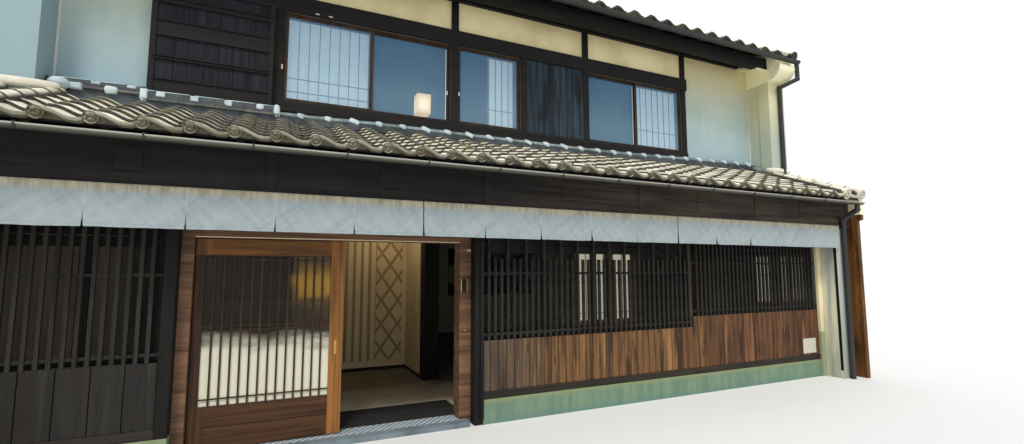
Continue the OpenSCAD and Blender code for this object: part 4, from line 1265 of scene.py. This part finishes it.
screenLook = {
    "stile": 0.028, "head": 0.032, "foot": 0.060, "bar": 0.007,
    "upperY": -2.732, "upper": (3.603, 4.678), "groundY": -3.845,
    "screens": (
        (-2.86, -1.87, "upper", 8, (3.7615, 3.9225)), (-0.26, 0.20, "upper", 4, (3.895,)),
        (2.33, 3.25, "upper", 7, (3.9297,)),
        (0.445, 0.90, 0.96, 3, (1.104, 1.485)), (0.99, 1.32, 0.96, 2, (1.104, 1.485)),
        (3.63, 4.18, 1.10, 3, (1.24, 1.56)), (4.19, 4.78, 1.10, 3, (1.24, 1.56))),
    "groundTop": 1.87,
    "paper": (shade(196, 204, 200), shade(176, 186, 184)),
    "wood": (shade(150, 112, 74), shade(104, 76, 52)),
    # Painted light: the paper glows warm low down and cool high up, as if lit through
    "glow": ((0.42, 0.39, 0.27, 1), (0.24, 0.29, 0.30, 1)),    # below and above
    "strips": ((-0.886, -0.878), (2.285, 2.293)),     # pale edges beside two clear panes
    "edge": (0.135, 0.20),                            # a wooden edge beside the middle screen
}


def paperFinish():
    sheet = Finish("screen paper")
    fibres = sheet.noise(sheet.place, (26, 26, 9), detail=5, rough=0.65, distort=1.2)
    # A painted glow, as if the paper were lit from behind
    glow = sheet.mix(sheet.on("Z").band(2.2, 3.4), *screenLook["glow"])
    colour = sheet.mix(fibres.band(0.35, 0.7), *screenLook["paper"])
    paintedGlow = {"Emission Color": glow, "Emission Strength": 1.0}
    return sheet.surface(colour, 0.85, sheet.bump(fibres, 0.0008), paintedGlow)


screenWood = timberFinish("screen wood", screenLook["wood"], 0.6, streaks=0.1, spread=0.2)


def addScreen(paper, wood, left, right, foot, top, y, columns, rails):
    look = screenLook
    start, end, low, high = left + look["stile"], right - look["stile"], foot + look["foot"], top - look["head"]
    addBox(paper, (start - 0.004, y + 0.016, low - 0.004), (end + 0.004, y + 0.0175, high + 0.004))
    addBox(wood, (left, y, foot), (start, y + 0.024, top))
    addBox(wood, (end, y, foot), (right, y + 0.024, top))
    addBox(wood, (start, y + 0.001, foot), (end, y + 0.023, low))
    addBox(wood, (start, y + 0.001, high), (end, y + 0.023, top))
    half = look["bar"] / 2
    for i in range(1, columns):
        x = start + (end - start) * i / columns
        addBox(wood, (x - half, y + 0.005, low), (x + half, y + 0.0165, high))
    for z in rails:
        addBox(wood, (start, y + 0.006, z - half), (end, y + 0.0165, z + half))


def makeScreens():
    look = screenLook
    paper = bmesh.new()
    wood = bmesh.new()
    y = look["upperY"]
    foot, top = look["upper"]
    for left, right, place, columns, rails in look["screens"]:
        if place == "upper":
            addScreen(paper, wood, left, right, foot, top, y, columns, rails)
        else:
            addScreen(paper, wood, left, right, place, look["groundTop"], look["groundY"], columns, rails)
    for left, right in look["strips"]:
        addBox(paper, (left, y - 0.03, 3.66), (right, y - 0.028, 4.63))
    left, right = look["edge"]
    addBox(wood, (left, y - 0.006, foot), (right, y - 0.001, top))
    addPiece("screen_sheets", paper, paperFinish(), "screen_paper", ("paper_screens",))
    addWood("screen_frames", wood, screenWood, "door_wood", edge=0.001, seed=44)


makeShutterBox()
makeBoardPanel()
makeScreens()
print("stage: upper boards and screens")


# Boards under the lattices

wainscotLook = {
    "bays": ((-4.83, -3.73, 0.87, 0.223), (-0.82, 2.2225, 0.87, 0.095), (2.2225, 4.83, 1.01, 0.095)),
    "front": -3.960, "back": -3.938, "behind": -3.932, "joint": 0.007,
    "beam": (0.255, 0.335), "beamFront": -3.970,
    "left": (shade(56, 53, 48), shade(30, 29, 27)),
    "first": (shade(116, 98, 78), shade(68, 57, 46)),
    "middle": (shade(162, 118, 72), shade(84, 58, 36)),
    "right": (shade(146, 98, 62), shade(74, 50, 32)),
    "stain": shade(34, 26, 24),
    "knot": shade(48, 28, 20),
}


def wainscotFinish():
    wood = Finish("wainscot boards")
    look = wainscotLook
    fibre = wood.attribute("fibre", "Vector")
    tint = wood.attribute("tint")
    broad = wood.noise(fibre, (0.9, 14, 14), detail=4, distort=0.5)
    fine = wood.noise(fibre, (2.5, 140, 140), detail=3, rough=0.6)
    figure = broad * 0.6 + fine * 0.4
    knot = wood.cells(fibre, (3.4, 11, 11)).band(0.05, 0.17, 0.9, 0.0)
    x = wood.on("X")
    tones = []
    for left, first, middle, right in zip(*(look[part] for part in ("left", "first", "middle", "right"))):
        tone = wood.mix(x.band(-2.5, -2.4), left, first)
        tone = wood.mix((x + tint * 0.4).band(-0.5, 0.5), tone, middle)
        tones.append(wood.mix((x + tint * 0.8).band(1.9, 3.4), tone, right))
    light, dark = tones
    colour = wood.mix((figure - knot * 0.3).band(0.38, 0.60), dark, light)
    colour = wood.mix((tint * 1.6).lowest(1.0) * 0.6, colour, dark)
    stain = wood.noise(fibre, (1.1, 7, 7), detail=3) + wood.on("Z") * 0.06
    colour = wood.mix(stain.band(0.52, 0.74, 0.0, 0.85), colour, look["stain"])
    colour = wood.mix(knot * 0.7, colour, look["knot"])
    gloss = fine.band(0.3, 0.7, 0.62, 0.8)
    return wood.surface(colour, gloss, wood.bump(figure, 0.0025), {"Specular IOR Level": 0.25})


def makeWainscot():
    look = wainscotLook
    bm = bmesh.new()
    for seed, (left, right, top, width) in enumerate(look["bays"]):
        edges = evenEdges(left, right, width)
        boardRow(bm, edges, look["front"], look["back"], look["beam"][1], top, look["joint"], 50 + seed, 0.003)
    addWood("wainscot_boards", bm, wainscotFinish(), "brown_boards", ("wainscot",), edge=0.0025, seed=51, along=2)
    bm = bmesh.new()
    for left, right, top, width in look["bays"]:
        addBox(bm, (left, look["beamFront"], look["beam"][0]), (right, look["behind"], look["beam"][1]))
        addBox(bm, (left, look["back"] + 0.001, look["beam"][1] + 0.001), (right, look["behind"], top - 0.001))
    addWood("wainscot_beams", bm, beamTimber, "dark_timber", edge=0.004, seed=52)


makeWainscot()
print("stage: wainscot")


# The shop curtain: three lengths of cloth, each slit into five panels

curtain = {
    "names": ("left", "middle", "right"),
    "start": -4.855, "panel": 0.65273, "panels": 5, "gap": 0.005,
    "foot": 1.962, "face": -4.321, "slitTop": 2.125,
    "railY": -4.303, "railZ": 2.291, "wrap": 0.0135, "behind": 0.032,
    "columns": 44, "rows": 36, "thick": 0.0016,
    "open": (0.004, 0.016),
    # The two tones follow the folds: painted shade in the creases
    "colour": (shade(158, 168, 169), shade(140, 150, 153)),
    "casing": (shade(184, 175, 148), shade(146, 138, 116)),
    "seam": shade(186, 190, 182),
    "hem": shade(108, 116, 122), "hemLine": (1.984, 1.990), "folds": (2.18, 2.28), "casingFrom": (2.235, 2.305),
}


def ripple(x, z, seed):
    return noise.noise(Vector((x, z, seed)))


def onCurtain(s):
    # A point of the cloth's profile, s up its face, over the rail and down behind it
    look = curtain
    wrap, railY, railZ = look["wrap"], look["railY"], look["railZ"]
    face = railZ - look["foot"]
    arc = math.pi * wrap
    if s < face:
        return look["face"] + (railY - wrap - look["face"]) * s / face, look["foot"] + s, 1.0
    if s < face + arc:
        turn = (s - face) / wrap
        return railY - wrap * math.cos(turn), railZ + wrap * math.sin(turn), math.cos(turn)
    return railY + wrap, railZ - (s - face - arc), -1.0


def curtainHeight():
    look = curtain
    return look["railZ"] - look["foot"] + math.pi * look["wrap"] + look["behind"]


def curtainPanel(bm, seam, left, right, ends, seed):
    # One panel: ends tells which of its sides are an end of the cloth
    look = curtain
    chance = random.Random(seed)
    billow = chance.uniform(-0.010, 0.012)
    curl = [chance.uniform(-0.008, 0.010) for _ in range(2)]
    opened = [chance.uniform(*look["open"]) for _ in range(2)]
    total = curtainHeight()
    first = len(bm.verts)
    bmesh.ops.create_grid(bm, x_segments=look["columns"], y_segments=look["rows"], size=0.5)
    bm.verts.ensure_lookup_table()
    width = right - left
    for vert in bm.verts[first:]:
        u = vert.co.x + 0.5
        x = left + u * width
        y, z, forward = onCurtain((vert.co.y + 0.5) * total)
        drop = max(0.0, look["railZ"] - z) / (look["railZ"] - look["foot"])
        loose = max(0.0, (look["slitTop"] - z) / (look["slitTop"] - look["foot"])) if forward == 1.0 else 0.0
        out = 0.011 * ripple(x * 4.2, z * 1.3, 3.0) * drop
        out += 0.006 * ripple(x * 11, z * 3.5, 7.0) * (0.3 + drop)
        out += 0.0026 * ripple(x * 30, z * 26, 11.0)
        gather = math.exp(-max(0.0, look["railZ"] - 0.035 - z) / 0.02) if forward == 1.0 else 1.0
        out += 0.0045 * ripple(x * 34, z * 6, 15.0) * gather
        for side, distance in enumerate((u * width, (1 - u) * width)):
            fold = math.sin(70 * distance - 60 * (look["railZ"] - z))
            reach = 0.20 if ends[side] else 0.05
            size = 0.0055 if ends[side] else 0.0022
            far = math.hypot(distance, 0.8 * (look["railZ"] - z))
            out += size * fold * math.exp(-far / reach)
            near = math.exp(-distance / 0.035)
            out += curl[side] * near * loose * loose
            push = opened[side] * loose * loose * math.exp(-distance / 0.14)
            x += push if side == 0 else -push
        out += billow * math.sin(math.pi * u) * loose
        z += (0.0035 * ripple(x * 3.5, 1.0, 21.0) + 0.002 * ripple(x * 14, 1.0, 23.0)) * drop
        vert.co = (x, y - out * forward, z)
        onSeam = (u < 1e-4 and not ends[0]) or (u > 1 - 1e-4 and not ends[1])
        vert[seam] = 1.0 if onSeam and loose == 0 else 0.0


def clothFinish():
    weave = Finish("shop curtain")
    look = curtain
    x = weave.on("X")
    z = weave.on("Z")
    thread = weave.noise(weave.place, (420, 420, 300), detail=2)
    # Soft folds that lean both ways, as creases of a cloth pulled at its corners do
    lean = weave.node("ShaderNodeCombineXYZ", inputs={"X": x * 9 + z * 7, "Y": z * 2.2})
    leanBack = weave.node("ShaderNodeCombineXYZ", inputs={"X": x * 7 - z * 9, "Y": z * 2.0, "Z": 4.0})
    upright = weave.noise(weave.place, (26, 26, 2.4), detail=3, distort=0.3)
    folds = weave.noise(lean, 1.6, detail=3) * 0.5 + weave.noise(leanBack, 1.6, detail=3) * 0.5
    gathers = upright * z.band(*look["folds"], 0.15, 0.75) + folds * z.band(*look["folds"], 0.85, 0.25)
    # The folds' height also darkens the colour in their hollows: painted shade in the creases
    mask = gathers.band(0.36, 0.70)
    casing = (z + upright * 0.05).band(*look["casingFrom"])
    colour = weave.mix(casing, weave.mix(mask, *look["colour"]), weave.mix(mask, *look["casing"]))
    colour = weave.mix(weave.attribute("seam").band(0.5, 1.0, 0.0, 0.5), colour, look["seam"])
    colour = weave.mix(z.within(*look["hemLine"], 0.002) * 0.35, colour, look["hem"])
    normal = weave.bump(thread, 0.0004, weave.bump(gathers, 0.005))
    return weave.surface(colour, 0.9, normal, {"Sheen Weight": 0.25, "Specular IOR Level": 0.2})


def makeCurtain():
    look = curtain
    cloth = clothFinish()
    for sheet, name in enumerate(look["names"]):
        bm = bmesh.new()
        seam = bm.verts.layers.float.new("seam")
        start = look["start"] + sheet * look["panels"] * look["panel"]
        for i in range(look["panels"]):
            left = start + i * look["panel"] + (look["gap"] if i == 0 else 0)
            right = start + (i + 1) * look["panel"] - (look["gap"] if i == look["panels"] - 1 else 0)
            curtainPanel(bm, seam, left, right, (i == 0, i == look["panels"] - 1), 60 + 5 * sheet + i)
        joined = [v for v in bm.verts if v.co.z > look["slitTop"] - 0.001]
        bmesh.ops.remove_doubles(bm, verts=joined, dist=2e-4)
        bmesh.ops.recalc_face_normals(bm, faces=bm.faces)
        bmesh.ops.solidify(bm, geom=bm.faces[:], thickness=look["thick"])
        smoothFaces(bm, 60)
        piece = addPiece("curtain_" + name, bm, cloth, "cloth", ("cloth_" + name,))
        height = curtainHeight()
        look["panels"] * look["panel"]


makeCurtain()
dress(darkTimber, "cloth_rail")
print("stage: shop curtain")


# Glass, stone, metal and the rest

smallLook = {
    # A painted sky reflection for the upper panes
    "skyReflection": (shade(96, 140, 176), shade(128, 166, 190)),
    "streetGlass": shade(24, 26, 28),
    # Painted reflections on the leaf glass: pale street, dark above, amber sign
    "leafGlass": (shade(244, 240, 216), shade(50, 46, 34), shade(214, 160, 52)),
    "plinth": (shade(120, 144, 118), shade(98, 124, 102), shade(142, 144, 96), shade(86, 122, 118)),
    "granite": (shade(122, 136, 142), shade(88, 100, 108)),
    "floor": (shade(214, 205, 180), shade(192, 181, 154)),
    "innerFloor": (shade(122, 116, 100), shade(98, 93, 80)),
    "mat": (shade(15, 14, 15), shade(34, 32, 32)),
    "track": shade(190, 202, 208),
    # Gutter: taupe, its painted shade, and its painted rim highlight
    "gutter": (shade(98, 94, 80), shade(40, 37, 31), shade(192, 190, 178)),
    "darkMetal": shade(40, 41, 44),
    "brass": shade(206, 168, 92),
    "backGlass": shade(34, 40, 44),
    "lamp": (shade(30, 28, 26), shade(222, 196, 160)),
    "lampGlow": ((0.62, 0.34, 0.14, 1), (1.0, 0.80, 0.46, 1)),
}


def windowGlass():
    # One finish for the panes of both storeys; the upper panes carry a painted sky reflection and a faint painted
    # glow
    pane = Finish("window glass")
    z = pane.on("Z")
    upper = z.band(2.4, 2.6)
    behind = pane.on("Y").band(2.9, 3.1)
    wave = pane.noise(pane.place, (1.6, 1.6, 2.4), detail=2, distort=0.4)
    blue, pale = smallLook["skyReflection"]
    # Painted reflection of the sky: paler low down, bluer higher up
    sky = pane.mix((z * 0.8 + wave * 0.5 - 3.2).band(0.0, 0.85), pale, blue)
    colour = pane.mix(behind, pane.mix(upper, smallLook["streetGlass"], sky), smallLook["backGlass"])
    return pane.surface(colour, 0.08, pane.bump(wave, 0.002), {
        "Specular IOR Level": 0.25, "Emission Strength": 0.25,
        # A faint painted glow of the sky colour on the upper panes
        "Emission Color": pane.mix(upper * (1 - behind), (0, 0, 0, 1), sky),
        "Alpha": upper.band(0.0, 1.0, 0.16, 0.27).highest(behind)})


def leafGlass():
    # Painted reflections: the pale street low down, dark above, and the warm light of a yellow sign near the right
    # side
    pane = Finish("leaf glass")
    z = pane.on("Z")
    cloud = pane.noise(pane.place, (2.2, 2.2, 7), detail=4)
    # Painted reflection of the pale street, low down
    low = (z + cloud * 0.35).fall(1.02, 1.28)
    between = (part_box("front_leaf_glass")[1][1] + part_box("rear_leaf_glass")[0][1]) / 2
    front = pane.on("Y").fall(between - 0.001, between + 0.001)
    # A warm painted reflection of a sign, on the front leaf only
    signReflection = (pane.on("X") + cloud * 0.3).band(-2.62, -2.48)
    signReflection = signReflection * (z - cloud * 0.5).band(0.95, 1.25) * z.fall(1.5, 1.8) * front
    streetReflection, dark, amber = smallLook["leafGlass"]
    colour = pane.mix(signReflection * 0.8, pane.mix(low, dark, streetReflection), amber)
    alpha = low.highest(signReflection).band(0.0, 1.0, 0.25, 0.66)
    return pane.surface(colour, 0.12, more={"Specular IOR Level": 0.3, "Alpha": alpha})


def kerbFinish():
    # Granite, with a pale slanting hatch where the leaves' tracks are let in
    stone = Finish("granite")
    patches = stone.noise(stone.place, 3.5, detail=5, rough=0.6)
    specks = stone.noise(stone.place, 180, detail=4, rough=0.7)
    colour = stone.mix((patches * 0.6 + specks * 0.4).band(0.38, 0.64), *smallLook["granite"])
    x = stone.on("X")
    y = stone.on("Y")
    hatch = ((x - y * 0.9 + 50) % 0.07).band(0.022, 0.034) * x.within(-3.46, -0.98, 0.01)
    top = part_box("door_sill")[1][2]
    tracks = y.band(-3.86, -3.85) * stone.on("Z").band(top - 0.004, top - 0.002)
    colour = stone.mix(hatch * tracks * 0.8, colour, smallLook["track"])
    return stone.surface(colour, 0.8, stone.bump(specks, 0.0012))


def floorFinish():
    # Trowelled earth, pale where the daylight of the door reaches it
    floor = Finish("trowelled floor")
    patches = floor.noise(floor.place, 3.5, detail=5, rough=0.6)
    specks = floor.noise(floor.place, 24, detail=4, rough=0.7)
    grain = (patches * 0.6 + specks * 0.4).band(0.38, 0.64)
    near = (floor.on("Y") + patches * 0.4).fall(-2.8, -1.3)
    colour = floor.mix(near, floor.mix(grain, *smallLook["innerFloor"]), floor.mix(grain, *smallLook["floor"]))
    return floor.surface(colour, 0.6, floor.bump(specks, 0.0012))


def plinthFinish():
    # Green cast stone: yellow at its top edge, bluer at its foot, brushed upright
    stone = Finish("plinth")
    pale, green, yellow, blue = smallLook["plinth"]
    z = stone.on("Z")
    brushed = stone.noise(stone.place, (9, 9, 1.2), detail=5, rough=0.6)
    specks = stone.noise(stone.place, 70, detail=4, rough=0.7)
    colour = stone.mix((brushed * 0.65 + specks * 0.35).band(0.38, 0.62), pale, green)
    colour = stone.mix((z + brushed * 0.06).band(0.225, 0.275, 0.0, 0.6), colour, yellow)
    colour = stone.mix((z - brushed * 0.12).band(-0.06, 0.06, 0.5, 0.0), colour, blue)
    return stone.surface(colour, 0.85, stone.bump(specks, 0.0015))


def makeMat():
    # It reaches the kerb, and runs on behind the leaves
    bm = copyNode("entrance_mat")
    for vert in bm.verts:
        if vert.co.x < -2.0:
            vert.co.x = -2.42
        if vert.co.y < -3.5:
            vert.co.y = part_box("door_sill")[1][1] + 0.002
    easeEdges(bm, 0.003)
    mat = Finish("mat")
    pile = mat.noise(mat.place, 220, detail=3)
    worn = mat.noise(mat.place, (3, 9, 3), detail=4)
    colour = mat.mix((worn * 0.7 + pile * 0.3).band(0.42, 0.66), *smallLook["mat"])
    addPiece(
        "entrance_mat_pile", bm, mat.surface(colour, 0.95, mat.bump(pile, 0.003)), "mat", ("entrance_mat",))


def metalFinish(name, colour, rough=0.45, metallic=0.0):
    metal = Finish(name)
    worn = metal.noise(metal.place, 14, detail=5, rough=0.65)
    tone = metal.mix(worn.band(0.35, 0.7, 0.0, 0.35), colour, shade(70, 66, 60))
    gloss = worn.band(0.3, 0.7, rough - 0.06, rough + 0.14)
    return metal.surface(tone, gloss, more={"Metallic": metallic, "Specular IOR Level": 0.35})


def gutterFinish():
    # The trough is taupe, darker low down with painted shade and paler along its rim with a painted highlight, and
    # the pipe below it is dark
    metal = Finish("lower gutter")
    taupe, dark, pale = smallLook["gutter"]
    y = metal.on("Y")
    z = metal.on("Z")
    worn = metal.noise(metal.place, (3, 9, 14), detail=5, rough=0.65)
    # Painted shade on the trough's lower part
    colour = metal.mix((z + worn * 0.012).band(2.610, 2.634), dark, taupe)
    # A painted highlight along the rim
    rim = (z - y * 0.3).band(4.0083, 4.0105) * y.fall(-4.55, -4.54)
    colour = metal.mix(z.band(2.598, 2.602), smallLook["darkMetal"], metal.mix(rim, colour, pale))
    return metal.surface(colour, worn.band(0.3, 0.7, 0.5, 0.7))


gutterLook = {
    "rimFrom": 2.645, "rimFront": -4.57, "rimDrop": 0.018,
    "hooks": 13, "firstHook": -4.54, "hookPitch": 0.73, "hookHalf": 0.007,
    "hookDepth": (-4.6, -4.57), "hookHeight": (2.612, 2.655),
}


def makeGutter():
    # The trough's outer rim lies lower than in the CAD
    look = gutterLook
    bm = copyNode("lower_rainwater")
    for vert in bm.verts:
        if vert.co.z > look["rimFrom"] and vert.co.y < look["rimFront"]:
            vert.co.z -= look["rimDrop"]
    addPiece("lower_gutter", bm, gutterFinish(), "rainwater", ("lower_rainwater",))
    bm = bmesh.new()
    for i in range(look["hooks"]):
        x = look["firstHook"] + look["hookPitch"] * i
        (front, back), (foot, top) = look["hookDepth"], look["hookHeight"]
        addBox(bm, (x - look["hookHalf"], front, foot), (x + look["hookHalf"], back, top))
    addPiece("gutter_hooks", bm, darkMetal, "rainwater")


fittings = {
    # The jamb's face, and what is on it
    "face": -3.84, "plate": (-1.035, -0.955, 1.393, 1.537), "button": (-0.987, 0.984), "sensor": (-0.942, 1.851),
    "rail": (-3.53, -1.05, 1.931, 1.941),
    "notice": (4.444, 4.739, 0.363, 0.583),
    "catches": ((-2.894, 3.996), (-0.893, 3.990), (-0.724, 4.002)),
    "clips": ((-2.530, 4.708), (-2.380, 4.708)),
}


def plainFinish(name, colour):
    # One colour, a little uneven
    plain = Finish(name)
    patches = plain.noise(plain.place, 40, detail=3)
    tone = plain.mix(patches.band(0.3, 0.7, 0.0, 0.15), colour, shade(60, 58, 54))
    return plain.surface(tone, 0.5)


def makeFittings():
    look = fittings
    left, right, foot, top = look["plate"]
    face = look["face"]
    dark = bmesh.new()
    brass = bmesh.new()
    pale = bmesh.new()
    addBox(dark, (left, face - 0.004, foot), (right, face + 0.002, top))
    for x in (left + 0.001, right - 0.009):
        addBox(brass, (x, face - 0.009, foot + 0.004), (x + 0.008, face - 0.003, top - 0.004))
    x, z = look["button"]
    bmesh.ops.create_cone(
        brass, cap_ends=True, segments=20, radius1=0.011, radius2=0.009, depth=0.010,
        matrix=Matrix.Translation((x, face - 0.004, z)) @ quarter["X"])
    x, z = look["sensor"]
    addBox(pale, (x - 0.022, face - 0.012, z - 0.012), (x + 0.022, face + 0.002, z + 0.012))
    left, right, foot, top = look["notice"]
    addBox(pale, (left, -3.966, foot), (right, -3.9585, top))
    for x, z in look["clips"]:
        addBox(pale, (x - 0.022, -2.877, z - 0.007), (x + 0.022, -2.871, z + 0.007))
    for x, z in look["catches"]:
        addBox(pale, (x - 0.008, -2.861, z - 0.028), (x + 0.008, -2.856, z + 0.028))
    addWood("jamb_plate", dark, beamTimber, "door_wood", edge=0.001, seed=81)
    addPiece("jamb_fittings", brass, brassMetal, "brass")
    easeEdges(pale, 0.001)
    addPiece("small_fittings", pale, plainFinish("pale metal", shade(206, 202, 184)), "plaster")
    left, right, foot, top = look["rail"]
    rail = bmesh.new()
    addBox(rail, (left, face - 0.003, foot), (right, face + 0.004, top))
    addPiece("door_head_strip", rail, plainFinish("pale strip", shade(226, 204, 164)), "door_wood")


def lampFinish():
    # A brighter spot amid the shade
    lamp = Finish("lamp shade")
    z = lamp.on("Z")
    x = lamp.on("X")
    spot = z.band(3.80, 3.92) * z.band(3.98, 4.12, 1.0, 0.1)
    spot = spot * x.band(-1.19, -1.10, 0.4, 1.0) * x.band(-1.06, -0.97, 1.0, 0.4)
    top = z.fall(4.106, 4.108)
    glow = lamp.mix(top, (0, 0, 0, 1), lamp.mix(spot, *smallLook["lampGlow"]))
    colour = lamp.mix(top, *smallLook["lamp"])
    return lamp.surface(colour, 0.8, more={"Emission Color": glow, "Emission Strength": 1.5})


darkMetal = metalFinish("dark metal", smallLook["darkMetal"])
brassMetal = metalFinish("brass", smallLook["brass"], 0.3, 0.85)
dress(windowGlass(), "window_glass")
dress(leafGlass(), "front_leaf_glass", "rear_leaf_glass")
dress(brassMetal, "front_leaf_pull", "rear_leaf_pull")
dress(plinthFinish(), "plinths")
dress(kerbFinish(), "door_sill")
dress(floorFinish(), "ground_floor")
makeMat()
makeGutter()
makeFittings()
dress(darkMetal, "upper_rainwater")
dress(lampFinish(), "room_lamp")
print("stage: glass, stone and metal")

sizes = {"cad": cadBox, "scene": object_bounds()}
{key: [list(corner) for corner in box] for key, box in sizes.items()}
